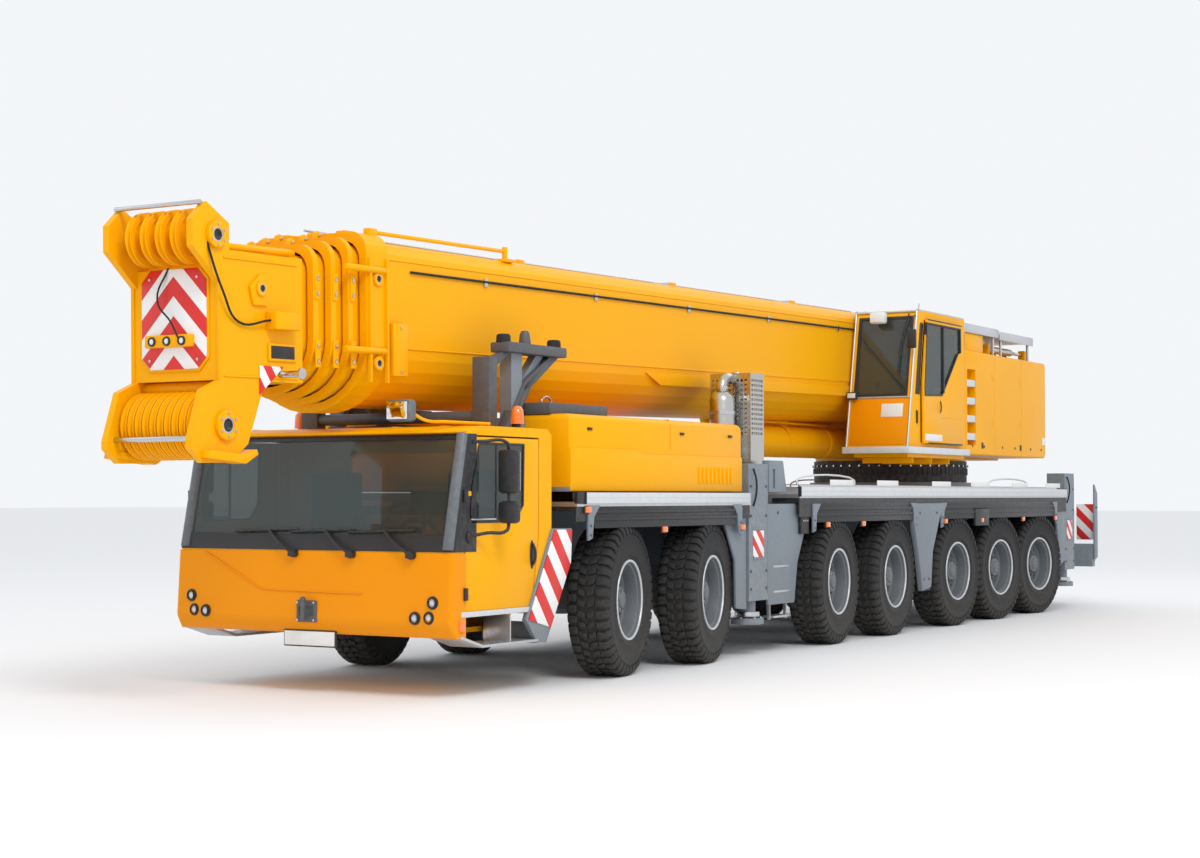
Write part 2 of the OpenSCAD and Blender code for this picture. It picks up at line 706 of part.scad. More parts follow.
module boom_base() {
    near = 480;
    fw = cheek_x - clear;
    color("orange") at_origin() on_boom() difference() {
        union() {
            boom_tube(0, boom_wall, near, base_reach);
            boom_tube(-50, 50, base_reach - 290, base_reach);
            // Foot plates to the pivot.
            for (s = [-1, 1]) {
                x0 = s > 0 ? boom_w / 2 - 60 : -fw;
                x1 = s > 0 ? fw : -boom_w / 2 + 60;
                side_plate([[-1400, 420], [-1400, -420], [-near, -400], [-60, -foot_r], [foot_r, -100], [foot_r, 120],
                    [60, foot_r], [-near, 420]], x0, x1);
            }
            // Clevis for the luffing cylinder's rod.
            side_plate_pair([[-eye_ahead - 350, -boom_down + 60], [-eye_ahead - 120, -eye_down - 110],
                [-eye_ahead + 120, -eye_down - 110], [-eye_ahead + 350, -boom_down + 60]],
                rod_d / 2 + clear, rod_d / 2 + clear + 60);
        }
        rod_x(pivot_d + 2 * fit, -boom_w, boom_w, 0, 0);
        rod_x(luff_pin_d + 2 * fit, -boom_w, boom_w, -eye_ahead, -eye_down);
        boom_tube(boom_wall, 500, near - 1, base_reach + 1);
    }
    // Pivot pin through the platform's cheeks and the foot.
    color("silver") at_origin() on_boom() rod_x(pivot_d, -cheek_x - cheek_t, cheek_x + cheek_t, 0, 0);
}

module boom_section(k) {
    t = k * boom_step;
    color("orange") at_origin() on_boom() {
        boom_tube(t, boom_wall, 900 + 120 * k, collar_at(k));
        boom_tube(t - 40, 40 + boom_wall, collar_at(k) - collar_t, collar_at(k));
        slide_pads(k, 900 + 120 * k);
    }
}

head_w = 900;
head_wall = 60;
head_up = 560;
head_down = 420;
sheave_shaft_d = 120;
// Upper and lower sheave packs: how far ahead of the head's plate, how high, and their radius.
upper_ahead = 60;
upper_z = 660;
upper_r = 210;
lower_ahead = -40;
lower_z = -760;
lower_r = 260;

// Children at the middle of a sheave pack's shaft, as a rod of diameter d over the head's width.
module sheave_bore(d, half, ahead, z) {
    rod_x(d, -half, half, -head_reach - ahead, z);
}

module boom_head() {
    t = 4 * boom_step;
    back = collar_at(4) - 60;
    front = head_reach;
    hw = head_w / 2;
    color("orange") at_origin() on_boom() {
        boom_tube(t, boom_wall, 900 + 120 * 4, back + 1);
        slide_pads(4, 900 + 120 * 4);
        difference() {
            union() {
                block([-hw, -front, -head_down], [hw, -back, head_up]);
                // Lugs and cheeks for both sheave packs.
                for (s = [-1, 1]) {
                    x0 = s > 0 ? hw - head_wall : -hw;
                    side_plate([[-front + 100, head_up], [-front + 100, 760], [-front - 150, 900],
                        [-front - 300, 760], [-front - 300, head_up], [-front, 300]], x0, x0 + head_wall);
                    side_plate([[-front + 500, -head_down], [-front + 300, -900], [-front + 100, -1040],
                        [-front - 200, -1040], [-front - guard_ahead, -guard_down - 60],
                        [-front - guard_ahead, -guard_down], [-front - 200, -500], [-front, -head_down]],
                        x0, x0 + head_wall);
                }
            }
            // Well that the upper sheaves dip into.
            block([-hw + head_wall, -front - 400, upper_z - upper_r - 20], [hw - head_wall, -front + 640, 1000]);
            sheave_bore(sheave_shaft_d + 2 * fit, hw + 1, upper_ahead, upper_z);
            sheave_bore(sheave_shaft_d + 2 * fit, hw + 1, lower_ahead, lower_z);
        }
    }
}

// Upper and lower sheave packs on their shafts.
module head_sheaves() {
    hw = head_w / 2;
    upper_y = -head_reach - upper_ahead;
    lower_y = -head_reach - lower_ahead;
    color("goldenrod") at_origin() on_boom() {
        sheave_bore(sheave_shaft_d, hw, upper_ahead, upper_z);
        for (i = [0:3]) rod_x(2 * upper_r, -150 + 90 * i, -90 + 90 * i, upper_y, upper_z);
        sheave_bore(sheave_shaft_d, hw, lower_ahead, lower_z);
        for (i = [0:8]) rod_x(2 * lower_r, -350 + 80 * i, -300 + 80 * i, lower_y, lower_z);
        rod_x(40, -hw + head_wall, hw - head_wall, -head_reach - guard_ahead + 30, -guard_down - 30);
    }
}

// ---------- luffing cylinder ----------

// The rod's eye as the boom is carried, in the machine's frame before at_origin().
eye_y = pivot_y - eye_ahead * cos(boom_rest) + eye_down * sin(-boom_rest) * -1;
eye_z = pivot_z - eye_down * cos(boom_rest) + eye_ahead * sin(boom_rest);
luff_len = norm([luff_y - eye_y, eye_z - luff_z]);
luff_angle = atan2(eye_z - luff_z, luff_y - eye_y);

// Children drawn from the foot pin, forward along -Y.
module on_cylinder() {
    translate([0, luff_y, luff_z]) rotate([-luff_angle, 0, 0]) children();
}

// The foot eye clears the platform's plate.
luff_eye_r = luff_z - platform_z - 60 - 5;
module luffing_barrel() {
    near = 230;
    far = luff_len - 420;
    color("orange") at_origin() on_cylinder() {
        difference() {
            union() {
                translate([0, -near, 0]) rotate([90, 0, 0]) cylinder(d = barrel_d, h = far - near);
                block([-barrel_d / 2, -near - 20, 10 - luff_eye_r], [barrel_d / 2, 0, luff_eye_r - 10]);
                rod_x(2 * luff_eye_r, -barrel_d / 2, barrel_d / 2, 0, 0);
            }
            translate([0, -near - 60, 0]) rotate([90, 0, 0]) cylinder(d = rod_d + 2 * fit, h = far);
            rod_x(luff_pin_d + 2 * fit, -barrel_d, barrel_d, 0, 0);
        }
        rod_x(luff_pin_d, -barrel_d / 2 - clear - 60, barrel_d / 2 + clear + 60, 0, 0);
    }
}

module luffing_rod() {
    color("silver") at_origin() on_cylinder() difference() {
        union() {
            translate([0, -400, 0]) rotate([90, 0, 0]) cylinder(d = rod_d, h = luff_len - 400 - 90);
            rod_x(250, -rod_d / 2, rod_d / 2, -luff_len, 0);
        }
        rod_x(luff_pin_d + 2 * fit, -rod_d, rod_d, -luff_len, 0);
    }
}

// ---------- what is drawn ----------

chassis_frame();
axle_beams();
deck();
mudguards();
engine_cover();
engine_block();
exhaust();
carrier_cab();
cab_interior();
left_door();
right_door();
knuckle(0, 1);  // knuckle_left_1
knuckle(1, 1);  // knuckle_left_2
knuckle(2, 1);  // knuckle_left_3
knuckle(3, 1);  // knuckle_left_4
knuckle(4, 1);  // knuckle_left_5
knuckle(5, 1);  // knuckle_left_6
knuckle(6, 1);  // knuckle_left_7
knuckle(0, -1);  // knuckle_right_1
knuckle(1, -1);  // knuckle_right_2
knuckle(2, -1);  // knuckle_right_3
knuckle(3, -1);  // knuckle_right_4
knuckle(4, -1);  // knuckle_right_5
knuckle(5, -1);  // knuckle_right_6
knuckle(6, -1);  // knuckle_right_7
wheel(0, 1);  // wheel_left_1
wheel(1, 1);  // wheel_left_2
wheel(2, 1);  // wheel_left_3
wheel(3, 1);  // wheel_left_4
wheel(4, 1);  // wheel_left_5
wheel(5, 1);  // wheel_left_6
wheel(6, 1);  // wheel_left_7
wheel(0, -1);  // wheel_right_1
wheel(1, -1);  // wheel_right_2
wheel(2, -1);  // wheel_right_3
wheel(3, -1);  // wheel_right_4
wheel(4, -1);  // wheel_right_5
wheel(5, -1);  // wheel_right_6
wheel(6, -1);  // wheel_right_7
outrigger_beam(obox_y, 1, 0);  // front_left_beam
outrigger_beam(obox_y, -1, 1);  // front_right_beam
outrigger_beam(robox_y, 1, 0);  // rear_left_beam
outrigger_beam(robox_y, -1, 1);  // rear_right_beam
outrigger_jack(obox_y, 1, 0);  // front_left_jack
outrigger_jack(obox_y, -1, 1);  // front_right_jack
outrigger_jack(robox_y, 1, 0);  // rear_left_jack
outrigger_jack(robox_y, -1, 1);  // rear_right_jack
slewing_platform();
tail_housing();
winch_drum();
crane_cab();
crane_cab_door();
luffing_barrel();
luffing_rod();
boom_base();
boom_section(1);  // boom_section_1
boom_section(2);  // boom_section_2
boom_section(3);  // boom_section_3
boom_head();
head_sheaves();
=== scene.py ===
"""Looks of a seven-axle mobile crane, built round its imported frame.

Lengths are metres. A side-view place is given as the distance behind the first axle, and
a place on the boom as the distance ahead of the boom's pivot and the height above it.
"""
import json
import math

import bpy
from mathutils import Matrix, Vector

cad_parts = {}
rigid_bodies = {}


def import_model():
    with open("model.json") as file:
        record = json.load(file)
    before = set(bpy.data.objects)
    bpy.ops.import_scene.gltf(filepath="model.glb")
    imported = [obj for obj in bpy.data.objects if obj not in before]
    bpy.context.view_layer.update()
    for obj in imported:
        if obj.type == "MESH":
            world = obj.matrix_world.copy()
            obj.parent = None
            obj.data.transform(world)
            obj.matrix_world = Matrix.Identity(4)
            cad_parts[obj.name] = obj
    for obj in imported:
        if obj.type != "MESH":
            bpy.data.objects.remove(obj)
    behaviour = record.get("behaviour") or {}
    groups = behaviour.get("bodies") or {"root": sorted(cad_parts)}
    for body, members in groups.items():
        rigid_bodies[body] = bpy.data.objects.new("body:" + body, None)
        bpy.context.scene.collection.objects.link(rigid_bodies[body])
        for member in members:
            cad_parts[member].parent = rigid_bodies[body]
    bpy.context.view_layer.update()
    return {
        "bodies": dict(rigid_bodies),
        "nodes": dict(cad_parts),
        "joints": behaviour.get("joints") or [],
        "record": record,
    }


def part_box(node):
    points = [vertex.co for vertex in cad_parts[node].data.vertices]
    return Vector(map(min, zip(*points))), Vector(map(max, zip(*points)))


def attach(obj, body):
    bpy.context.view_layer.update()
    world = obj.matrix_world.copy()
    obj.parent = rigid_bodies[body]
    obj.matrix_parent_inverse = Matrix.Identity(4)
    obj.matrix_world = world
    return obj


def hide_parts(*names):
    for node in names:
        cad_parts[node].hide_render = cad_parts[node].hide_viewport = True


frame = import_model()

bl_info = {
    "name": "Mobile crane looks",
    "version": (1, 0, 0),
    "blender": (4, 5, 0),
    "location": "View3D > Sidebar > Crane",
    "description": "Builds the visible pieces of a seven-axle mobile crane",
    "category": "Object",
}


# ---------- places read from the frame ----------

def joint(name):
    """One joint of the frame, by its name."""
    return next(j for j in frame["joints"] if j["name"] == name)


def middle_of(node):
    """The middle of a node's box."""
    lo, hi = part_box(node)
    return (lo + hi) / 2


AXLES = range(1, 8)
SIDES = {"left": 1, "right": -1}
AXLE_Y = [(middle_of(f"wheel_left_{i}").y + middle_of(f"wheel_right_{i}").y) / 2 for i in AXLES]
AXLE_1 = AXLE_Y[0]
HUB_Z = joint("roll_left_1")["pos_m"][2]
PIVOT = Vector(joint("boom_luff")["pos_m"])
BOOM_AXIS = Vector(joint("telescope_1")["axis"])
BOOM_TILT = math.atan2(-BOOM_AXIS.z, -BOOM_AXIS.y)
SLEW_Y = joint("slewing")["pos_m"][1]
TYRE_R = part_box("wheel_left_4")[1].z / 2
TYRE_W = 0.385


def at(y):
    """Frame place of something y metres behind the first axle."""
    return y + AXLE_1


# ---------- modelling helpers ----------

def start_clean():
    """Leaves edit mode and deselects everything."""
    if bpy.context.object and bpy.context.object.mode != "OBJECT":
        bpy.ops.object.mode_set(mode="OBJECT")
    bpy.ops.object.select_all(action="DESELECT")


def pick(obj):
    """Selects one object alone and makes it the active one."""
    start_clean()
    obj.select_set(True)
    bpy.context.view_layer.objects.active = obj


def settle(obj):
    """Puts the object's place, turn and size into its mesh."""
    pick(obj)
    bpy.ops.object.transform_apply(location=True, rotation=True, scale=True)
    return obj


def apply_modifier(obj, kind, **values):
    """Adds a modifier with its values and applies it."""
    pick(obj)
    mod = obj.modifiers.new(kind.title(), kind)
    for key, value in values.items():
        setattr(mod, key, value)
    bpy.ops.object.modifier_apply(modifier=mod.name)
    return obj


def soften(obj, width, segments=2, angle=35.0):
    """Rounds the sharp edges and shades the rest smooth."""
    if width > 0:
        apply_modifier(obj, "BEVEL", width=width, segments=segments, limit_method="ANGLE",
                       angle_limit=math.radians(angle), use_clamp_overlap=True)
    pick(obj)
    bpy.ops.object.shade_smooth_by_angle(angle=math.radians(angle))
    return obj


def box(name, lo, hi, bevel=0.006, finish=None):
    """A block between two corners, given in any order."""
    start_clean()
    middle = [(a + b) / 2 for a, b in zip(lo, hi)]
    bpy.ops.mesh.primitive_cube_add(size=1, location=middle)
    obj = bpy.context.active_object
    obj.name = name
    obj.scale = [abs(b - a) for a, b in zip(lo, hi)]
    settle(obj)
    if bevel:
        soften(obj, bevel)
    return paint(obj, finish)


def rod(name, start, end, radius, sides=20, bevel=0.0, finish=None, radius_end=None):
    """A round bar, or a cone where radius_end is given."""
    start, end = Vector(start), Vector(end)
    along = end - start
    start_clean()
    tip = radius if radius_end is None else radius_end
    bpy.ops.mesh.primitive_cone_add(vertices=sides, radius1=radius, radius2=tip, depth=along.length,
                                    location=(start + end) / 2)
    obj = bpy.context.active_object
    obj.name = name
    obj.rotation_mode = "QUATERNION"
    obj.rotation_quaternion = along.to_track_quat("Z", "Y")
    settle(obj)
    soften(obj, bevel)
    return paint(obj, finish)


def ball(name, middle, radius, squash=(1, 1, 1), finish=None):
    """A sphere, flattened by squash."""
    start_clean()
    bpy.ops.mesh.primitive_uv_sphere_add(segments=20, ring_count=12, radius=radius, location=middle)
    obj = bpy.context.active_object
    obj.name = name
    obj.scale = squash
    settle(obj)
    bpy.ops.object.shade_smooth()
    return paint(obj, finish)


def drawn(name, outline, axis, start, end, bevel=0.006, finish=None):
    """An outline pulled out along an axis from start to end.

    Across X the outline's points are (y, z), across Y they are (x, z), across Z (x, y).
    """
    start_clean()
    bpy.ops.mesh.primitive_circle_add(vertices=len(outline), radius=1, fill_type="NGON")
    obj = bpy.context.active_object
    obj.name = name
    for vertex, (u, v) in zip(obj.data.vertices, outline):
        vertex.co = {"X": (start, u, v), "Y": (u, start, v), "Z": (u, v, start)}[axis]
    pull = Vector((axis == "X", axis == "Y", axis == "Z")) * (end - start)
    bpy.ops.object.mode_set(mode="EDIT")
    bpy.ops.mesh.select_all(action="SELECT")
    bpy.ops.mesh.extrude_region_move(TRANSFORM_OT_translate={"value": pull})
    bpy.ops.mesh.select_all(action="SELECT")
    bpy.ops.mesh.normals_make_consistent(inside=False)
    bpy.ops.object.mode_set(mode="OBJECT")
    if bevel:
        soften(obj, bevel)
    return paint(obj, finish)


def hole(outline, start, end):
    """A tool that cuts an outline through, across X."""
    return drawn("hole", outline, "X", start, end, 0)


def turned(name, profile, middle, axis="X", steps=64, finish=None, angle=40.0):
    """A closed (radius, along) profile spun round an axis through middle."""
    start_clean()
    bpy.ops.mesh.primitive_circle_add(vertices=len(profile), radius=1, fill_type="NOTHING")
    obj = bpy.context.active_object
    obj.name = name
    for vertex in obj.data.vertices:
        vertex.select = False
    for vertex, (radius, along) in zip(obj.data.vertices, profile):
        vertex.co = {"X": (along, 0, radius), "Y": (radius, along, 0), "Z": (radius, 0, along)}[axis]
    spin_axis = (axis == "X", axis == "Y", axis == "Z")
    on_axis = profile[0][0] == 0 and profile[-1][0] == 0
    for edge in obj.data.edges:
        edge.select = on_axis and set(edge.vertices) == {0, len(profile) - 1}
    bpy.ops.object.mode_set(mode="EDIT")
    if on_axis:
        bpy.ops.mesh.select_mode(type="EDGE")
        bpy.ops.mesh.delete(type="EDGE")
    bpy.ops.mesh.select_all(action="SELECT")
    bpy.ops.mesh.spin(steps=steps, angle=2 * math.pi, center=(0, 0, 0), axis=spin_axis)
    bpy.ops.mesh.select_all(action="SELECT")
    bpy.ops.mesh.remove_doubles(threshold=0.0002)
    bpy.ops.mesh.normals_make_consistent(inside=False)
    bpy.ops.object.mode_set(mode="OBJECT")
    obj.location = middle
    settle(obj)
    bpy.ops.object.shade_smooth_by_angle(angle=math.radians(angle))
    return paint(obj, finish)


def pipe(name, points, radius, finish=None, smooth=True, sides=3):
    """A round bar bent through its points."""
    curve = bpy.data.curves.new(name, "CURVE")
    curve.dimensions = "3D"
    curve.bevel_depth = radius
    curve.bevel_resolution = sides
    curve.resolution_u = 6
    curve.use_fill_caps = True
    spline = curve.splines.new("BEZIER" if smooth else "POLY")
    knots = spline.bezier_points if smooth else spline.points
    knots.add(len(points) - 1)
    for knot, point in zip(knots, points):
        knot.co = point if smooth else (*point, 1)
        if smooth:
            knot.handle_left_type = knot.handle_right_type = "AUTO"
    obj = bpy.data.objects.new(name, curve)
    bpy.context.scene.collection.objects.link(obj)
    pick(obj)
    bpy.ops.object.convert(target="MESH")
    obj = bpy.context.active_object
    bpy.ops.object.shade_smooth_by_angle(angle=math.radians(50))
    return paint(obj, finish)


def cut(obj, *tools):
    """Takes the tools' shapes out of the object, and removes the tools."""
    for tool in tools:
        apply_modifier(obj, "BOOLEAN", operation="DIFFERENCE", object=tool, solver="EXACT")
        bpy.data.objects.remove(tool)
    return obj


def repeat(obj, count, step):
    """A row of copies, each moved on by step."""
    return apply_modifier(obj, "ARRAY", count=count, use_relative_offset=False,
                          use_constant_offset=True, constant_offset_displace=step)


def grid(obj, first, second):
    """Rows of copies: first and second are each a count and a step."""
    return repeat(repeat(obj, *first), *second)


def ring(obj, count, axis="X"):
    """Copies of the object all round an axis through the origin, in one mesh."""
    start_clean()
    bpy.ops.object.empty_add(location=(0, 0, 0))
    turn = bpy.context.active_object
    turn.rotation_euler["XYZ".index(axis)] = 2 * math.pi / count
    bpy.context.view_layer.update()
    apply_modifier(obj, "ARRAY", count=count, use_relative_offset=False, use_object_offset=True,
                   offset_object=turn)
    bpy.data.objects.remove(turn)
    return obj


def moved_by(obj, matrix):
    """Moves the mesh by a matrix and leaves the object at the origin."""
    obj.matrix_world = matrix
    return settle(obj)


def twin(obj, moved=(0, 0, 0), mirrored=False):
    """A copy with its own mesh, moved or mirrored across the middle of the machine."""
    pick(obj)
    bpy.ops.object.duplicate(linked=False)
    other = bpy.context.active_object
    other.location = moved
    if mirrored:
        other.scale = (-1, 1, 1)
    settle(other)
    if mirrored:
        bpy.ops.object.mode_set(mode="EDIT")
        bpy.ops.mesh.select_all(action="SELECT")
        bpy.ops.mesh.normals_make_consistent(inside=False)
        bpy.ops.object.mode_set(mode="OBJECT")
    return other


def join(name, *parts):
    """Makes one piece of the parts."""
    start_clean()
    for part in parts:
        part.select_set(True)
    bpy.context.view_layer.objects.active = parts[0]
    if len(parts) > 1:
        bpy.ops.object.join()
    obj = bpy.context.active_object
    obj.name = name
    return obj


def both(*parts):
    """The parts with their mirror images."""
    return [*parts, *[twin(part, mirrored=True) for part in parts]]


ON_CHASSIS = Matrix.Translation((0, AXLE_1, 0))
ON_BOOM = Matrix.Translation(PIVOT) @ Matrix.Rotation(BOOM_TILT, 4, "X")


def keep(obj, body, slot, *nodes, where=ON_CHASSIS):
    """Puts a finished piece in its place and says what it moves with and stands for.

    A piece on the chassis is drawn with y from the first axle, one on the boom about the pivot.
    """
    moved_by(obj, where)
    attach(obj, body)
    if nodes:
        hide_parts(*nodes)
    return obj


# ---------- shader groups ----------

def feed(tree, value, socket):
    """Gives a socket a plain value, or links another node's output to it."""
    if isinstance(value, bpy.types.NodeSocket):
        tree.links.new(value, socket)
    else:
        socket.default_value = value


def add(tree, kind, *values, **settings):
    """A new node with its settings, and its first inputs fed in order."""
    made = tree.nodes.new(kind)
    for key, value in settings.items():
        setattr(made, key, value)
    for socket, value in zip(made.inputs, values):
        feed(tree, value, socket)
    return made


def object_place(tree):
    """Where a point lies on the piece, which no movement changes."""
    return add(tree, "ShaderNodeTexCoord").outputs["Object"]


def maths(tree, operation, *values, clamp=False):
    """The result of a Math node on numbers or other nodes' outputs."""
    return add(tree, "ShaderNodeMath", *values, operation=operation, use_clamp=clamp).outputs[0]


def noise(tree, vector, scale, detail=3.0, roughness=0.55):
    made = add(tree, "ShaderNodeTexNoise")
    values = {"Vector": vector, "Scale": scale, "Detail": detail, "Roughness": roughness}
    for label, value in values.items():
        feed(tree, value, made.inputs[label])
    return made.outputs["Fac"]


def ramp(tree, factor, low, high):
    """How far a value has come from low to high, from 0 to 1."""
    return add(tree, "ShaderNodeMapRange", factor, low, high, clamp=True).outputs["Result"]


def mix_colour(tree, factor, first, second, blend="MIX"):
    made = add(tree, "ShaderNodeMix", factor, data_type="RGBA", blend_type=blend)
    feed(tree, first, made.inputs[6])
    feed(tree, second, made.inputs[7])
    return made.outputs[2]


def node_group(name, inputs, outputs):
    """An empty shader node group: its tree, the values given to it and the sockets that leave it."""
    tree = bpy.data.node_groups.new(name, "ShaderNodeTree")
    for label, kind, default in inputs:
        tree.interface.new_socket(label, in_out="INPUT", socket_type=kind).default_value = default
    for label, kind in outputs:
        tree.interface.new_socket(label, in_out="OUTPUT", socket_type=kind)
    return tree, tree.nodes.new("NodeGroupInput").outputs, tree.nodes.new("NodeGroupOutput").inputs


def weathering_group():
    """Slow colour drift, fine speckle and road dust that gathers low down."""
    tree, given, leave = node_group(
        "Weathering",
        [("Colour", "NodeSocketColor", (0.8, 0.8, 0.8, 1)), ("Drift", "NodeSocketFloat", 0.08),
         ("Dust", "NodeSocketFloat", 0.15), ("Dust colour", "NodeSocketColor", (0.30, 0.27, 0.23, 1)),
         ("Gloss low", "NodeSocketFloat", 0.25), ("Gloss high", "NodeSocketFloat", 0.45)],
        [("Colour", "NodeSocketColor"), ("Roughness", "NodeSocketFloat"), ("Height", "NodeSocketFloat")])
    place = object_place(tree)
    slow = noise(tree, place, 0.7, 2.0)
    fine = noise(tree, place, 34.0, 4.0)
    grain = noise(tree, place, 260.0, 2.0)
    darker = mix_colour(tree, 1.0, given["Colour"], (0.72, 0.70, 0.68, 1), "MULTIPLY")
    drift = maths(tree, "MULTIPLY", ramp(tree, slow, 0.35, 0.7), given["Drift"])
    shaded = mix_colour(tree, drift, given["Colour"], darker)
    # Dust gathers below axle height and where the noise is high.
    height = add(tree, "ShaderNodeSeparateXYZ", place).outputs["Z"]
    patch = maths(tree, "MULTIPLY", ramp(tree, height, 1.25, 0.25), ramp(tree, fine, 0.3, 0.75))
    dust = maths(tree, "MULTIPLY", patch, given["Dust"], clamp=True)
    gloss = add(tree, "ShaderNodeMix", ramp(tree, fine, 0.3, 0.7), data_type="FLOAT")
    feed(tree, given["Gloss low"], gloss.inputs[2])
    feed(tree, given["Gloss high"], gloss.inputs[3])
    feed(tree, mix_colour(tree, dust, shaded, given["Dust colour"]), leave["Colour"])
    feed(tree, maths(tree, "MULTIPLY_ADD", dust, 0.5, gloss.outputs[0], clamp=True), leave["Roughness"])
    feed(tree, grain, leave["Height"])
    return tree


def edge_wear_group():
    """A mask of rubbed edges: where the surface turns sharply and the noise allows it."""
    tree, given, leave = node_group(
        "Edge wear", [("Amount", "NodeSocketFloat", 0.3)], [("Mask", "NodeSocketFloat")])
    sharp = ramp(tree, add(tree, "ShaderNodeNewGeometry").outputs["Pointiness"], 0.54, 0.62)
    patches = ramp(tree, noise(tree, object_place(tree), 18.0, 4.0), 0.45, 0.6)
    worn = maths(tree, "MULTIPLY", sharp, patches)
    feed(tree, maths(tree, "MULTIPLY", worn, given["Amount"], clamp=True), leave["Mask"])
    return tree


GRAIN_DEPTH = 0.004
GROUPS = {}
FINISHES = {}


def group_node(tree, name, **values):
    """Places a shader group, which is built when it is first asked for."""
    made = add(tree, "ShaderNodeGroup")
    if name not in GROUPS:
        GROUPS[name] = {"Weathering": weathering_group, "Edge wear": edge_wear_group}[name]()
    made.node_tree = GROUPS[name]
    for key, value in values.items():
        made.inputs[key.replace("_", " ")].default_value = value
    return made


def new_material(name):
    """A material, its node tree and the inputs of its shader."""
    material = bpy.data.materials.new(name)
    material.use_nodes = True
    tree = material.node_tree
    return material, tree, tree.nodes["Principled BSDF"].inputs


def finish_material(name, colour, gloss=(0.3, 0.45), metallic=0.0, drift=0.1, dust=0.2, wear=0.2,
                    wear_colour=(0.25, 0.24, 0.23, 1), bump=0.02, coat=0.0, specular=0.5, pattern=None):
    """A painted, cast, rubber or metal finish with weathering, edge wear and a grained surface."""
    material, tree, shader = new_material(name)
    weather = group_node(tree, "Weathering", Colour=(*colour, 1), Drift=drift, Dust=dust,
                         Gloss_low=gloss[0], Gloss_high=gloss[1])
    edges = group_node(tree, "Edge wear", Amount=wear)
    if pattern:
        feed(tree, pattern(tree), weather.inputs["Colour"])
    values = {"Metallic": metallic, "Coat Weight": coat, "Coat Roughness": 0.08,
              "Specular IOR Level": specular,
              "Base Color": mix_colour(tree, edges.outputs[0], weather.outputs["Colour"], wear_colour),
              "Roughness": weather.outputs["Roughness"]}
    if bump:
        raised = add(tree, "ShaderNodeBump")
        feed(tree, bump, raised.inputs["Strength"])
        feed(tree, GRAIN_DEPTH, raised.inputs["Distance"])
        feed(tree, weather.outputs["Height"], raised.inputs["Height"])
        values["Normal"] = raised.outputs["Normal"]
    for label, value in values.items():
        feed(tree, value, shader[label])
    return material


RED = (0.72, 0.02, 0.015, 1)
WHITE = (0.88, 0.88, 0.87, 1)


def banded(tree, along, pitch, offset):
    """Red and white bands that follow a distance."""
    turns = maths(tree, "MULTIPLY_ADD", along, 1.0 / pitch, offset)
    is_red = maths(tree, "GREATER_THAN", maths(tree, "FRACT", turns), 0.5)
    return mix_colour(tree, is_red, WHITE, RED)


def stripes(direction, pitch, offset=0.0):
    """Slanted warning stripes: a colour that changes with the distance along a direction."""
    def build(tree):
        along = add(tree, "ShaderNodeVectorMath", object_place(tree), direction, operation="DOT_PRODUCT")
        return banded(tree, along.outputs["Value"], pitch, offset)
    return build


def chevron(pitch, offset=0.0):
    """Warning stripes that point up at the machine's middle."""
    def build(tree):
        place = add(tree, "ShaderNodeSeparateXYZ", object_place(tree)).outputs
        return banded(tree, maths(tree, "ADD", maths(tree, "ABSOLUTE", place["X"]), place["Z"]), pitch,
                      offset)
    return build


def board_finish(name, pattern, wear=0.05, gloss_high=0.4):
    """The finish of a warning board with its pattern."""
    return finish_material(name, (1, 1, 1), (0.3, gloss_high), dust=0.1, wear=wear, pattern=pattern)


def glass_material(name, tint, alpha):
    """Tinted window glass: see-through by its alpha, with a strong surface reflection."""
    material, tree, shader = new_material(name)
    smear = ramp(tree, noise(tree, object_place(tree), 3.0, 3.0), 0.3, 0.8)
    values = {"Roughness": maths(tree, "MULTIPLY", smear, 0.06), "Base Color": (*tint, 1), "Alpha": alpha,
              "Specular IOR Level": 0.9}
    for label, value in values.items():
        feed(tree, value, shader[label])
    return material


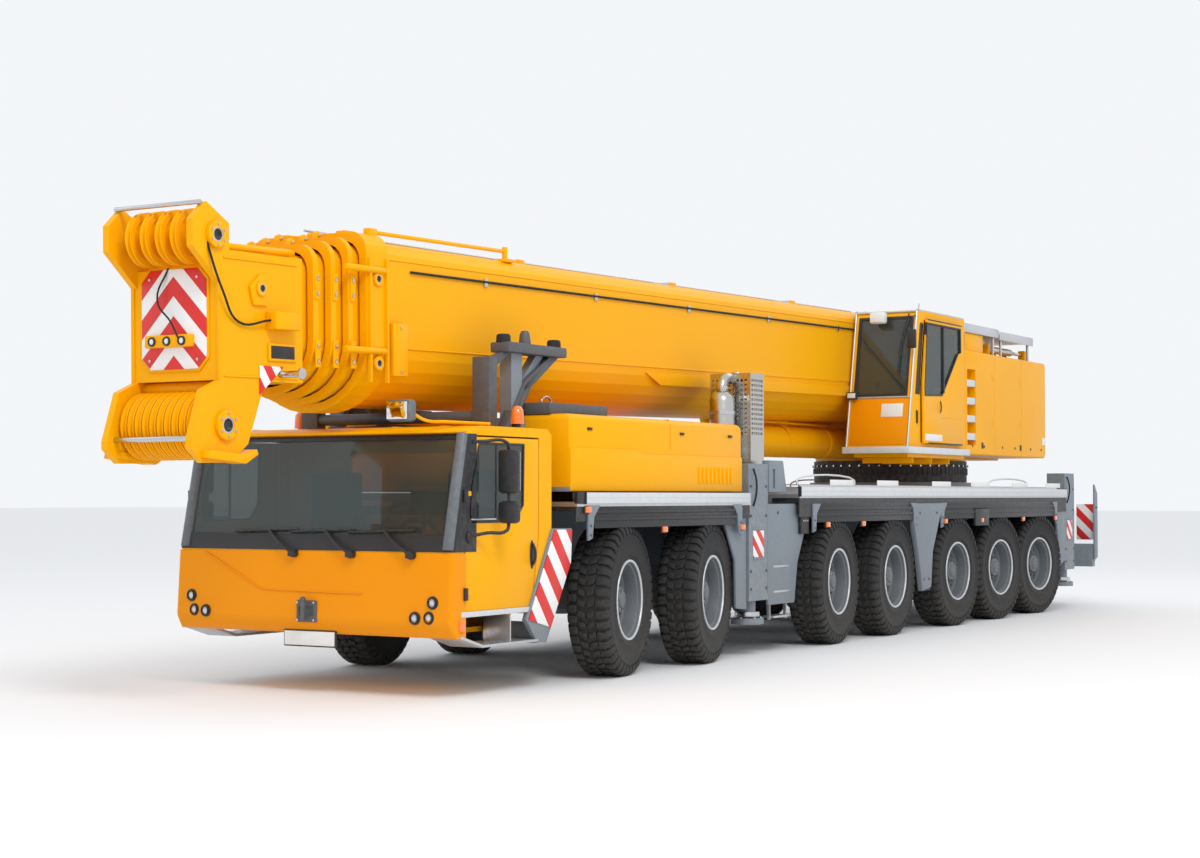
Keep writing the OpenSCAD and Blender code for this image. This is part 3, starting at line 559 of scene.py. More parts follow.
def make_finishes(colours):
    """Fills FINISHES: each key is the short name by which a piece asks for its finish."""
    def look(key, *words, **values):
        FINISHES[key] = finish_material(*words, **values)
    paint_coat = {"dust": 0.05, "coat": 0.03, "specular": 0.10}
    lens = {"dust": 0.0, "coat": 1.0, "wear": 0.0}
    look("yellow", "Yellow paint", colours.paint, (0.28, 0.40), wear=0.08,
         wear_colour=(0.55, 0.26, 0.01, 1), **paint_coat)
    # A darker copy of the yellow paint: painted shade for faces that get less light, such as the carrier's
    # front.
    look("fascia", "Fascia paint", colours.fascia, (0.25, 0.36), wear=0.05, **paint_coat)
    look("grey", "Chassis paint", colours.chassis, (0.42, 0.58), drift=0.25, dust=0.35, wear=0.25,
         wear_colour=(0.33, 0.34, 0.35, 1))
    look("dark_grey", "Dark frame paint", (0.085, 0.090, 0.098), (0.45, 0.62), drift=0.3, dust=0.3)
    look("rim", "Rim paint", (0.125, 0.140, 0.155), (0.38, 0.52), drift=0.25, dust=0.3, wear=0.4,
         wear_colour=(0.35, 0.36, 0.37, 1))
    look("rubber", "Tyre rubber", (0.016, 0.016, 0.017), (0.62, 0.80), drift=0.4, dust=0.22, wear=0.35,
         wear_colour=(0.055, 0.053, 0.050, 1), bump=0.25, specular=0.35)
    look("black", "Black plastic", (0.018, 0.018, 0.020), (0.35, 0.55), drift=0.3, dust=0.12, wear=0.3,
         wear_colour=(0.07, 0.07, 0.07, 1), bump=0.12)
    look("cloth", "Cab cloth", (0.045, 0.047, 0.052), (0.80, 0.92), drift=0.4, dust=0.0, wear=0.1, bump=0.5)
    look("aluminium", "Aluminium", (0.62, 0.63, 0.65), (0.28, 0.42), metallic=0.85, drift=0.2, dust=0.15,
         wear=0.1)
    look("white", "Rail white", (0.68, 0.70, 0.72), (0.35, 0.5), metallic=0.25, drift=0.2, dust=0.1)
    look("steel", "Bright steel", (0.60, 0.60, 0.61), (0.16, 0.28), metallic=1.0, drift=0.15, dust=0.05,
         wear=0.0)
    look("stainless", "Exhaust steel", (0.55, 0.54, 0.51), (0.15, 0.3), metallic=1.0, drift=0.4, dust=0.0,
         wear=0.0)
    look("iron", "Cast iron", (0.05, 0.05, 0.052), (0.55, 0.7), metallic=0.4, drift=0.4, dust=0.3)
    look("lamp", "Lamp lens", (0.75, 0.76, 0.78), (0.05, 0.12), specular=0.9, **lens)
    look("amber", "Amber lens", (0.95, 0.20, 0.01), (0.08, 0.15), **lens)
    look("red", "Red lens", (0.55, 0.012, 0.01), (0.08, 0.15), **lens)
    look("plate", "Blank plate", (0.80, 0.80, 0.78), (0.35, 0.45), dust=0.1, wear=0.1)
    look("mirror", "Mirror glass", (0.8, 0.82, 0.84), (0.02, 0.05), metallic=1.0, drift=0.05, dust=0.0,
         wear=0.0, bump=0.0)
    FINISHES["glass"] = glass_material("Cab glass", (0.035, 0.060, 0.058), 0.55)


def paint(obj, finish):
    """Gives the whole object one finish."""
    if finish is not None:
        obj.data.materials.clear()
        obj.data.materials.append(FINISHES[finish] if isinstance(finish, str) else finish)
    return obj


# ---------- settings ----------

class CraneColours(bpy.types.PropertyGroup):
    paint: bpy.props.FloatVectorProperty(
        name="Paint", description="Yellow of the boom, cabs and covers", subtype="COLOR", size=3,
        min=0, max=1, default=(0.94, 0.425, 0.001))
    # This darker yellow is painted shade: the same yellow paint as it looks on faces turned from the light.
    fascia: bpy.props.FloatVectorProperty(
        name="Shaded fascia", description="Yellow paint darkened as painted shade for the carrier's front and other shaded faces", subtype="COLOR", size=3,
        min=0, max=1, default=(0.88, 0.30, 0.001))
    chassis: bpy.props.FloatVectorProperty(
        name="Chassis", description="Grey of the chassis and outriggers", subtype="COLOR", size=3,
        min=0, max=1, default=(0.20, 0.235, 0.27))


class CraneTyres(bpy.types.PropertyGroup):
    lugs: bpy.props.IntProperty(
        name="Lugs", description="Tread lugs round each shoulder", default=44, min=20, max=60)
    groove: bpy.props.FloatProperty(
        name="Tread depth", description="How far the lugs stand out", subtype="DISTANCE", unit="LENGTH",
        default=0.020, min=0.005, max=0.03)


class CraneCamera(bpy.types.PropertyGroup):
    lens: bpy.props.FloatProperty(name="Focal length", description="Lens in millimetres on a 36 mm sensor",
                                  default=60.1, min=20, max=120)
    place: bpy.props.FloatVectorProperty(
        name="Place", description="Camera, with y measured from the first axle", subtype="TRANSLATION",
        size=3, default=(10.54, -15.59, 1.62))
    turn: bpy.props.FloatProperty(name="Turn", description="How far the view turns from straight back",
                                  subtype="ANGLE", unit="ROTATION", default=math.radians(30.86))
    rise: bpy.props.FloatProperty(
        name="Rise", description="How far the view looks up", subtype="ANGLE", unit="ROTATION",
        default=math.radians(1.92))


# ---------- stage ----------

FLOOR_SIZE = 400
SENSOR_MM = 36
# Each lamp's name, place, size and power.
LAMPS = (("key", (14, -16, 18), 8, 2100), ("fill", (-16, -14, 12), 14, 150), ("back", (4, 16, 16), 12, 300))
AIM = Vector((0, -1, 1.5))

class CRANE_OT_stage(bpy.types.Operator):
    """Pale floor, soft studio lights and the camera"""
    bl_idname = "crane.stage"
    bl_label = "Stage"

    def execute(self, context):
        scene = context.scene
        shot = scene.crane_camera
        start_clean()
        bpy.ops.mesh.primitive_plane_add(size=FLOOR_SIZE, location=(0, 0, 0))
        floor = context.active_object
        floor.name = "floor"
        material, _, shader = new_material("Floor")
        shader["Base Color"].default_value = (0.86, 0.86, 0.86, 1)
        shader["Roughness"].default_value = 0.9
        paint(floor, material)
        world = bpy.data.worlds.new("Studio")
        world.use_nodes = True
        world.node_tree.nodes["Background"].inputs[0].default_value = (0.95, 0.97, 1.0, 1)
        world.node_tree.nodes["Background"].inputs[1].default_value = 0.95
        scene.world = world
        for name, place, size, power in LAMPS:
            lamp = bpy.data.lights.new(name, "AREA")
            lamp.shape = "DISK"
            lamp.size = size
            lamp.energy = power
            obj = bpy.data.objects.new(name, lamp)
            scene.collection.objects.link(obj)
            obj.location = place
            obj.rotation_euler = (AIM - Vector(place)).to_track_quat("-Z", "Y").to_euler()
        lens = bpy.data.cameras.new("camera")
        lens.lens = shot.lens
        lens.sensor_width = SENSOR_MM
        lens.clip_end = 300
        camera = bpy.data.objects.new("camera", lens)
        scene.collection.objects.link(camera)
        camera.location = (shot.place[0], at(shot.place[1]), shot.place[2])
        camera.rotation_euler = (math.pi / 2 + shot.rise, 0, shot.turn)
        scene.camera = camera
        scene.view_settings.view_transform = "Standard"
        return {"FINISHED"}


# ---------- wheels ----------

RIM_R = 0.36


def tyre_carcass():
    """The tyre without its tread: beads, sidewalls with their rings, and the crown."""
    half = TYRE_W / 2
    crown = TYRE_R - 0.019
    side = [(RIM_R - 0.012, half - 0.030), (RIM_R + 0.012, half - 0.012), (0.395, half - 0.005),
            (0.400, half - 0.001), (0.425, half - 0.001), (0.430, half - 0.004), (0.50, half),
            (0.565, half - 0.002), (0.570, half + 0.002), (0.582, half + 0.002), (0.588, half - 0.005),
            (0.625, half - 0.014), (0.650, half - 0.030), (crown, half - 0.058)]
    profile = side + [(radius, -along) for radius, along in reversed(side)]
    return turned("tyre", profile, (0, 0, 0), steps=96, finish="rubber", angle=50)


def tyre_tread(settings):
    """Shoulder lugs that wrap down the sidewall, and two rows of slanted blocks between them."""
    half = TYRE_W / 2
    top = TYRE_R
    foot = TYRE_R - settings.groove - 0.008
    pitch = 2 * math.pi * TYRE_R / settings.lugs
    lug = [(half - 0.108, foot), (half - 0.106, top), (half - 0.040, top - 0.001),
           (half - 0.018, top - 0.015), (half - 0.004, top - 0.045), (half + 0.003, top - 0.085),
           (half - 0.004, top - 0.090), (half - 0.030, foot - 0.02)]
    rows = []
    for side in (1, -1):
        shoulder = drawn("shoulder", [(side * x, z) for x, z in lug], "Y", -0.36 * pitch, 0.30 * pitch,
                         bevel=0.004)
        shoulder.rotation_euler.x = 0 if side > 0 else math.pi / settings.lugs
        settle(shoulder)
        rows.append(shoulder)
        block = [(side * x, y) for x, y in ((0.010, -0.42 * pitch), (0.076, -0.20 * pitch),
                                            (0.078, 0.36 * pitch), (0.040, 0.22 * pitch),
                                            (0.010, 0.10 * pitch))]
        rows.append(drawn("block", block, "Z", foot, top, bevel=0.003))
    tread = [ring(row, settings.lugs) for row in rows]
    return [paint(row, "rubber") for row in tread]


def wheel_rim():
    """Deep rim with its flange rings, the disc with hand holes, and the planetary hub."""
    lip = TYRE_W / 2 - 0.012
    profile = [(0, 0.122), (0.060, 0.122), (0.075, 0.114), (0.082, 0.100), (0.105, 0.098), (0.118, 0.088),
               (0.124, 0.050), (0.170, 0.044), (0.180, 0.030), (0.235, 0.024), (0.262, 0.010),
               (0.290, 0.012), (0.306, 0.030), (0.312, 0.100), (0.322, 0.140), (0.336, 0.150),
               (0.338, lip - 0.012), (0.344, lip), (0.362, lip), (0.366, lip - 0.008), (0.360, lip - 0.018),
               (0.348, lip - 0.030), (0.340, 0.0), (0.348, 0.030 - lip), (0.362, 0.012 - lip),
               (0.356, -lip), (0.336, 0.012 - lip), (0.318, -0.100), (0.300, -0.020), (0.230, -0.008),
               (0.150, -0.014), (0.140, -0.055), (0.064, -0.055), (0.062, 0.088), (0, 0.090)]
    rim = turned("rim", profile, (0, 0, 0), steps=64, finish="rim", angle=32)
    hand_hole = rod("hole", (-0.05, 0, 0.238), (0.06, 0, 0.238), 0.026, sides=16)
    rim = cut(rim, ring(hand_hole, 10))
    paint(rim, "rim")
    flange = turned("flange", [(0.341, lip - 0.006), (0.345, lip + 0.004), (0.361, lip + 0.004),
                               (0.365, lip - 0.006), (0.362, lip - 0.010), (0.344, lip - 0.010)], (0, 0, 0),
                    steps=64, finish="white")
    stud = rod("stud", (0.040, 0, 0.150), (0.068, 0, 0.150), 0.0135, sides=6, bevel=0.002)
    nut = rod("nut", (0.040, 0, 0.150), (0.058, 0, 0.150), 0.019, sides=10)
    studs = paint(ring(join("studs", stud, nut), 10), "dark_grey")
    cap_bolt = rod("cap_bolt", (0.096, 0, 0.094), (0.106, 0, 0.094), 0.008, sides=6)
    cap_bolts = paint(ring(cap_bolt, 12), "steel")
    valve = rod("valve", (0.03, 0, 0.296), (0.12, 0, 0.302), 0.006, sides=8, finish="steel")
    return [rim, flange, studs, cap_bolts, valve]


class CRANE_OT_wheels(bpy.types.Operator):
    """Fourteen tyres with block tread on deep dished rims"""
    bl_idname = "crane.wheels"
    bl_label = "Wheels"

    def execute(self, context):
        model = join("wheel", tyre_carcass(), *tyre_tread(context.scene.crane_tyres), *wheel_rim())
        for side, sign in SIDES.items():
            for axle in AXLES:
                roll = joint(f"roll_{side}_{axle}")
                along = Vector(roll["axis"])
                turn = math.atan2(along.y, along.x)
                if abs(turn) > math.pi / 2:
                    turn -= math.copysign(math.pi, turn)
                if sign < 0:
                    turn += math.pi
                hub = middle_of(f"wheel_{side}_{axle}")
                hub.z = HUB_Z
                wheel = twin(model)
                wheel.name = f"tyre_and_rim_{side}_{axle}"
                keep(wheel, f"wheel_{side}_{axle}", "tyre_rubber", f"wheel_{side}_{axle}",
                     where=Matrix.Translation(hub) @ Matrix.Rotation(turn, 4, "Z"))
        bpy.data.objects.remove(model)
        return {"FINISHED"}


# ---------- carrier cab ----------

CAB_X = 1.43
CAB_CORNER = 0.13
BELT_Z = 1.175
CAB_LIP_Z = 2.125


def bevel_where(obj, width, segments, test):
    """Rounds only the edges whose two ends pass the test."""
    pick(obj)
    mesh = obj.data
    bpy.ops.object.mode_set(mode="EDIT")
    bpy.ops.mesh.select_mode(type="EDGE")
    bpy.ops.mesh.select_all(action="DESELECT")
    bpy.ops.object.mode_set(mode="OBJECT")
    for edge in mesh.edges:
        edge.select = all(test(mesh.vertices[i].co) for i in edge.vertices)
    bpy.ops.object.mode_set(mode="EDIT")
    bpy.ops.mesh.bevel(offset=width, segments=segments, affect="EDGES", clamp_overlap=True)
    bpy.ops.object.mode_set(mode="OBJECT")
    return obj


def cab_hull(grow, finish):
    """The cab's outer shape, grown or shrunk all round, with rounded front corners."""
    outline = [(-2.575 - grow, 0.50 - grow), (-2.640 - grow, 0.60), (-2.605 - grow, BELT_Z),
               (-2.405 - grow, CAB_LIP_Z), (-2.34 - grow, 2.165 + grow), (-2.22, 2.19 + grow),
               (-1.22, 2.19 + grow), (-1.15 + grow, 2.14 + grow), (-1.15 + grow, 1.34),
               (-1.52 + grow, 0.60), (-1.57 + grow, 0.50 - grow)]
    half = CAB_X + grow
    hull = drawn("hull", outline, "X", -half, half, bevel=0, finish=finish)
    return bevel_where(hull, CAB_CORNER, 6, lambda v: abs(v.x) > half - 0.001 and v.y < -2.3)


def keep_inside(obj, tool):
    """Keeps only what lies inside the tool, and removes the tool."""
    apply_modifier(obj, "BOOLEAN", operation="INTERSECT", object=tool, solver="EXACT")
    bpy.data.objects.remove(tool)
    return obj


def cab_slice(grow, thick, finish, lo, hi):
    """A stretch of the cab's skin between two corners, thick metres deep."""
    skin = keep_inside(cab_hull(grow, finish), box("slice", lo, hi, 0))
    return cut(skin, cab_hull(grow - thick, finish))


def windscreen_hole():
    """The tool for the opening of the windscreen."""
    outline = [(-2.90, BELT_Z + 0.135), (-2.90, CAB_LIP_Z - 0.045), (-2.20, CAB_LIP_Z - 0.045),
               (-2.36, BELT_Z + 0.135)]
    return hole(outline, -1.335, 1.335)


DOOR_WINDOW = [(-2.385, 1.46), (-2.350, 1.405), (-1.715, 1.405), (-1.585, 1.545), (-1.575, 2.055),
               (-2.245, 2.055), (-2.365, 1.70)]


PANE_SHARE = 0.955


def window_in(window, middle, start, end):
    """A window's rubber seal, and its outline drawn in towards the middle, where the glass begins."""
    middle = Vector(middle)
    inner = [tuple(middle + (Vector(point) - middle) * PANE_SHARE) for point in window]
    seal = cut(drawn("seal", window, "X", start, end, 0, "black"), hole(inner, start - 0.1, end + 0.1))
    return soften(seal, 0.002, 1), inner


def cab_shell():
    """Hollow cab with its windscreen, door and back openings and the two step wells."""
    shell = cab_hull(0, "yellow")
    shell = cut(shell, cab_hull(-0.04, "cloth"))
    door_gap = [(-2.455, 0.665), (-2.455, 1.62), (-2.310, 2.112), (-1.345, 2.112), (-1.345, 1.30),
                (-1.455, 0.665)]
    shell = cut(shell, windscreen_hole(), hole(door_gap, -1.6, 1.6))
    shell = cut(shell, box("back_window", (-0.70, -1.30, 1.45), (0.70, -1.05, 2.00), 0),
                box("step_well", (-1.6, -2.47, 0.30), (-1.12, -1.50, 0.655), 0),
                box("step_well", (1.12, -2.47, 0.30), (1.6, -1.50, 0.655), 0))
    return soften(shell, 0)


def fascia():
    """The proud front panel with its pressed line, lamps, coupling plate and blank number plate."""
    # The panel, its pressed line and the marker frames take the darker yellow: painted shade on the cab's
    # front.
    panel = cab_slice(0.012, 0.03, "fascia", (-2, -3, 0.3), (2, -2.44, BELT_Z - 0.012))
    soften(panel, 0.004, segments=1)
    yield panel
    line = [(-1.13, -2.627, 1.150), (-0.80, -2.634, 0.995), (-0.50, -2.640, 0.853), (-0.42, -2.641, 0.845),
            (0.20, -2.642, 0.835), (0.56, -2.641, 0.832)]
    yield pipe("pressed_line", line, 0.006, "fascia", smooth=False)
    for x, z, finish in ((1.262, 0.775, "lamp"), (1.095, 0.650, "lamp"), (1.228, 0.655, "lamp")):
        for sign in (1, -1):
            middle = Vector((sign * x, -2.636 - 0.010 * (x < 1.2), z))
            yield turned("bezel", [(0.036, -0.030), (0.036, 0.010), (0.050, 0.010), (0.054, -0.006),
                                   (0.052, -0.014), (0.040, -0.014)], middle, "Y", 24, "black")
            yield ball("lens", middle + Vector((0, -0.004, 0)), 0.040, (1, 0.28, 1), finish)
            yield turned("bulb_ring", [(0.016, -0.014), (0.022, -0.016), (0.022, -0.010), (0.016, -0.010)],
                         middle, "Y", 16, "steel")
    plate = box("coupling_plate", (-0.105, -2.662, 0.585), (0.105, -2.640, 0.765), 0.012, "dark_grey")
    plate = cut(plate, box("slot", (-0.075, -2.70, 0.640), (0.075, -2.65, 0.715), 0))
    yield plate
    yield rod("coupling_pin", (0, -2.705, 0.600), (0, -2.705, 0.760), 0.022, 20, 0.004, "dark_grey")
    yield ball("pin_knob", (0, -2.705, 0.772), 0.026, finish="dark_grey")
    for x in (-0.085, 0.085):
        for z in (0.603, 0.747):
            yield rod("plate_bolt", (x, -2.672, z), (x, -2.655, z), 0.010, 6, 0, "steel")
    yield box("number_plate", (-0.26, -2.622, 0.392), (0.26, -2.610, 0.508), 0.004, "plate")
    yield box("plate_frame", (-0.275, -2.612, 0.380), (0.275, -2.598, 0.520), 0.006, "black")
    for sign in (1, -1):
        yield box("marker", (sign * 1.428, -2.545, 0.545), (sign * 1.462, -2.475, 0.640), 0.012, "amber")
        yield box("marker_frame", (sign * 1.420, -2.556, 0.534), (sign * 1.446, -2.464, 0.651), 0.006,
                  "fascia")


def windscreen():
    """Black surround, tinted glass, grey corner pillars and three wipers."""
    surround = cab_slice(0.006, 0.035, "black", (-2, -3, BELT_Z), (2, -2.285, CAB_LIP_Z - 0.004))
    surround = soften(cut(surround, windscreen_hole()), 0)
    glass = cab_slice(-0.006, 0.008, "glass", (-1.36, -3, BELT_Z + 0.11), (1.36, -2.29, CAB_LIP_Z - 0.02))
    yield surround
    yield soften(glass, 0)
    lean = Vector((0, 0.200, CAB_LIP_Z - BELT_Z)).normalized()
    foot = Vector((1.375, -2.585, BELT_Z + 0.012))
    pillar = rod("pillar", foot, foot + lean * 0.955, 0.052, 20, 0.006, "rim")
    yield from both(pillar)
    for x in (-0.148, 0.450, 1.054):
        pivot = Vector((x, -2.640, BELT_Z - 0.030))
        tip = Vector((x - 0.305, -2.598, BELT_Z + 0.165))
        yield rod("wiper_pivot", pivot + Vector((0, 0.04, 0)), pivot - Vector((0, 0.03, 0)), 0.030, 16,
                  0.005, "black")
        yield pipe("wiper_arm", [pivot, pivot + Vector((-0.10, -0.018, 0.060)), tip], 0.012, "black")
        yield box("wiper_box", pivot - Vector((0.045, 0.034, 0.022)), pivot + Vector((0.030, 0.0, 0.026)),
                  0.008, "black")
        blade = Vector((0.37, 0, 0.012))
        yield rod("wiper_blade", tip - blade, tip + blade * 0.85, 0.009, 8, 0, "black")
        yield rod("wiper_rubber", tip - blade - Vector((0, -0.012, 0.010)),
                  tip + blade * 0.85 - Vector((0, -0.012, 0.010)), 0.006, 6, 0, "rubber")


def roof_fittings():
    """Front roof mirror on its arm, gutter, roof ribs and hatch."""
    yield box("gutter", (-1.40, -2.440, 2.128), (1.40, -2.330, 2.156), 0.010, "yellow")
    for x in (-1.0, -0.5, 0.0, 0.5, 1.0):
        yield box("roof_rib", (x - 0.02, -2.15, 2.188), (x + 0.02, -1.25, 2.198), 0.004, "yellow")
    yield box("hatch", (-0.36, -1.95, 2.186), (0.36, -1.45, 2.215), 0.014, "black")
    arm = [(1.30, -1.90, 2.215), (1.16, -2.33, 2.222), (1.02, -2.40, 2.232), (0.95, -2.52, 2.300),
           (0.95, -2.58, 2.315)]
    yield pipe("mirror_arm", arm, 0.014, "yellow")
    yield box("roof_mirror", (0.83, -2.70, 2.215), (1.07, -2.585, 2.395), 0.035, "rim")
    yield box("roof_mirror_glass", (0.85, -2.708, 2.235), (1.05, -2.698, 2.375), 0.003, "mirror")
    for x in (-1.18, 1.18):
        yield rod("lamp_post", (x, -1.30, 2.19), (x, -1.30, 2.235), 0.030, 16, 0.004, "black")
        yield turned("beacon", [(0, 0.16), (0.030, 0.15), (0.052, 0.12), (0.058, 0.04), (0.060, 0.0),
                                (0, 0.0)], (x, -1.30, 2.235), "Z", 24, "amber")


def cab_steps():
    """Silver sill under each door, the folded entry step, and the slanted striped corner board."""
    sill = box("sill", (1.425, -2.505, 0.655), (1.447, -1.480, 0.700), 0.005, "white")
    tread = drawn("tread", [(-2.53, 0.492), (-2.22, 0.402), (-1.39, 0.402), (-1.39, 0.425), (-2.21, 0.425),
                            (-2.52, 0.512)], "X", 1.13, 1.455, 0.004, "aluminium")
    slots = grid(box("slot", (1.19, -2.17, 0.35), (1.225, -2.12, 0.45), 0), (5, (0.05, 0, 0)),
                 (9, (0, 0.082, 0)))
    tread = cut(tread, slots)
    bracket = drawn("bracket", [(-1.80, 0.655), (-1.66, 0.655), (-1.45, 0.425), (-1.80, 0.425)], "X", 1.16,
                    1.175, 0.003, "aluminium")
    web = box("web", (1.16, -1.80, 0.425), (1.44, -1.785, 0.655), 0.003, "aluminium")
    board_line = [(-1.145, 1.335), (-0.865, 1.333), (-0.885, 1.05), (-1.205, 0.510), (-1.548, 0.590)]
    board = drawn("board", board_line, "X", 1.452, 1.464, 0.004,
                  board_finish("Corner stripes", stripes((0, 0.80, 0.60), 0.235, 0.10)))
    backing = drawn("backing", [(-1.16, 1.345), (-0.85, 1.343), (-0.87, 1.045), (-1.26, 0.385),
                                (-1.40, 0.395), (-1.575, 0.590)], "X", 1.405, 1.452, 0.006, "grey")
    foot = box("foot", (1.12, -1.40, 0.385), (1.41, -1.30, 0.56), 0.008, "grey")
    return both(sill, tread, bracket, web, board, backing, foot)


def cab_door(sign):
    """A door with its window, seal, handle, hinges and two mirrors."""
    outline = [(-2.440, 0.700), (-2.440, 1.630), (-2.298, 2.098), (-1.358, 2.098), (-1.358, 1.290),
               (-1.462, 0.700)]
    panel = drawn("door", outline, "X", CAB_X - 0.045, CAB_X + 0.002, bevel=0, finish="yellow")
    panel = cut(panel, hole(DOOR_WINDOW, 1.2, 1.6))
    soften(panel, 0.006)
    seal, inner = window_in(DOOR_WINDOW, (-1.98, 1.73), CAB_X - 0.02, CAB_X + 0.006)
    glass = drawn("pane", inner, "X", CAB_X - 0.012, CAB_X - 0.004, bevel=0, finish="glass")
    slider = box("slider", (CAB_X - 0.014, -1.995, 1.41), (CAB_X + 0.001, -1.975, 2.05), 0.002, "black")
    rail = box("window_rail", (CAB_X - 0.006, -2.36, 1.428), (CAB_X + 0.007, -2.00, 1.440), 0.002,
               "aluminium")
    cup = ball("handle_cup", (CAB_X + 0.002, -1.459, 1.132), 0.1, (0.10, 0.34, 1.22), "black")
    grip = pipe("grip", [(CAB_X + 0.012, -1.459, 1.225), (CAB_X + 0.034, -1.459, 1.17),
                         (CAB_X + 0.034, -1.459, 1.09), (CAB_X + 0.012, -1.459, 1.045)], 0.011, "black")
    hinges = [rod("hinge", (1.454, -2.460, z), (1.454, -2.460, z + 0.10), 0.020, 16, 0.004, "black")
              for z in (0.79, 1.57)]
    leaves = [box("leaf", (1.432, -2.462, z + 0.061), (1.456, -2.385, z + 0.099), 0.004, "yellow")
              for z in (0.77, 1.56)]
    x = 1.625
    tall = box("mirror_tall", (x - 0.085, -2.150, 1.640), (x + 0.090, -2.050, 2.000), 0.032, "black")
    small = box("mirror_small", (x - 0.085, -2.150, 1.400), (x + 0.090, -2.045, 1.580), 0.034, "black")
    mirrors = [box("mirror_face", (x - 0.068, -2.048, z0), (x + 0.073, -2.042, z1), 0.002, "mirror")
               for z0, z1 in ((1.665, 1.975), (1.425, 1.555))]
    upper = pipe("arm_upper", [(1.435, -2.335, 2.055), (1.50, -2.29, 2.060), (x, -2.130, 2.050),
                               (x, -2.10, 1.99)], 0.014, "black")
    lower = pipe("arm_lower", [(x, -2.10, 1.41), (x, -2.13, 1.345), (1.52, -2.26, 1.325),
                               (1.435, -2.375, 1.300)], 0.014, "black")
    post = rod("arm_post", (x, -2.10, 1.56), (x, -2.10, 1.66), 0.014, 12, 0, "black")
    pad = ball("arm_foot", (1.440, -2.385, 1.290), 0.05, (0.5, 0.9, 1.0), "black")
    door = join("door", panel, seal, glass, slider, rail, cup, grip, *hinges, *leaves, tall, small,
                *mirrors, upper, lower, post, pad)
    if sign < 0:
        other = twin(door, mirrored=True)
        bpy.data.objects.remove(door)
        door = other
    return door


def steering():
    """Steering wheel with two spokes on its slanted column."""
    middle = Vector((0.62, -2.18, 1.36))
    turns = [math.radians(30 * i) for i in range(13)]
    yield pipe("steering_wheel", [middle + Vector((0.21 * math.cos(a), 0.09 * math.sin(a),
                                                   0.19 * math.sin(a))) for a in turns], 0.016, "black")
    yield rod("column", middle, (0.62, -2.38, 1.05), 0.035, 16, 0.004, "black")
    for x in (0.2, -0.2):
        yield rod("spoke", middle, middle + Vector((x, 0, 0)), 0.014, 10, 0, "black")


class CRANE_OT_carrier_cab(bpy.types.Operator):
    """Low full-width cab with its front panel, windscreen, doors, mirrors and steps"""
    bl_idname = "crane.carrier_cab"
    bl_label = "Carrier cab"

    def execute(self, context):
        keep(join("cab_shell", cab_shell()), "carrier", "yellow_paint", "carrier_cab")
        keep(join("cab_fascia", *fascia()), "carrier", "yellow_paint")
        keep(join("cab_windscreen", *windscreen()), "carrier", "black_plastic")
        keep(join("cab_roof_fittings", *roof_fittings()), "carrier", "black_plastic")
        keep(join("cab_steps", *cab_steps()), "carrier", "aluminium")
        for side, sign in SIDES.items():
            door = cab_door(sign)
            door.name = f"{side}_door_leaf"
            keep(door, f"{side}_door", "yellow_paint", f"{side}_door")
        keep(join("steering", *steering()), "carrier", "black_plastic")
        return {"FINISHED"}


# ---------- boom and head ----------

# Along the boom the pieces are drawn about its pivot: -Y is towards the head.
COLLARS = ((-13.56, -13.27, 0.05, "boom_base"), (-13.73, -13.60, 0.0, "boom_section_1"),
           (-13.90, -13.77, -0.045, "boom_section_2"), (-14.07, -13.94, -0.09, "boom_section_3"))
HEAD_FRONT = -15.13
HEAD_SIDE = 0.452
UPPER_SHEAVE = Vector((0, -15.19, 0.66))
LOWER_SHEAVE = Vector((0, -15.09, -0.76))
BOOM_HALF = 0.56


def boss(x, y, z, outer, inner, reach, finish="yellow"):
    """A turned boss with a bright bush, its face towards +X or -X, and a black disc set shallow in the bore
    as painted shade for the hole's depth.
    """
    way = 1 if x > 0 else -1
    face = turned("boss", [(inner, 0), (inner, way * reach), (outer * 0.93, way * reach),
                            (outer, way * reach * 0.8), (outer, 0)], (x, y, z), "X", 32, finish)
    bush = turned("bush", [(inner * 0.78, 0), (inner * 0.78, way * reach * 0.9), (inner, way * reach * 0.9),
                           (inner, 0)], (x, y, z), "X", 28, "steel")
    # The black disc stands in for the shade deep inside the bore: painted shade.
    dark = turned("bore", [(0, way * reach * 0.35), (inner * 0.8, way * reach * 0.35), (inner * 0.8, 0),
                           (0, 0)], (x, y, z), "X", 24, "black")
    return [face, bush, dark]


def sheave(rim, middle, x):
    """One grooved rope wheel with a dished web and a hub."""
    profile = [(0.062, -0.034), (0.085, -0.034), (0.090, -0.014), (rim - 0.060, -0.014),
               (rim - 0.048, -0.030), (rim, -0.030), (rim, -0.021), (rim - 0.026, -0.008),
               (rim - 0.026, 0.008), (rim, 0.021), (rim, 0.030), (rim - 0.048, 0.030), (rim - 0.060, 0.014),
               (0.090, 0.014), (0.085, 0.034), (0.062, 0.034)]
    return turned("sheave", profile, middle + Vector((x, 0, 0)), "X", 48, "yellow", 30)


def head_sheave_sets():
    """Four rope wheels at the head's top and ten below, with their shafts and spacers."""
    yield from [sheave(0.21, UPPER_SHEAVE, -0.225 + 0.15 * i) for i in range(4)]
    yield from [sheave(0.26, LOWER_SHEAVE, -0.333 + 0.074 * i) for i in range(10)]
    half = Vector((0.40, 0, 0))
    for middle in (UPPER_SHEAVE, LOWER_SHEAVE):
        yield rod("shaft", middle - half, middle + half, 0.058, 32, 0.004, "steel")
    for i in range(3):
        yield rod("spacer", UPPER_SHEAVE + Vector((-0.19 + 0.15 * i, 0, 0)),
                  UPPER_SHEAVE + Vector((-0.11 + 0.15 * i, 0, 0)), 0.075, 24, 0.003, "yellow")


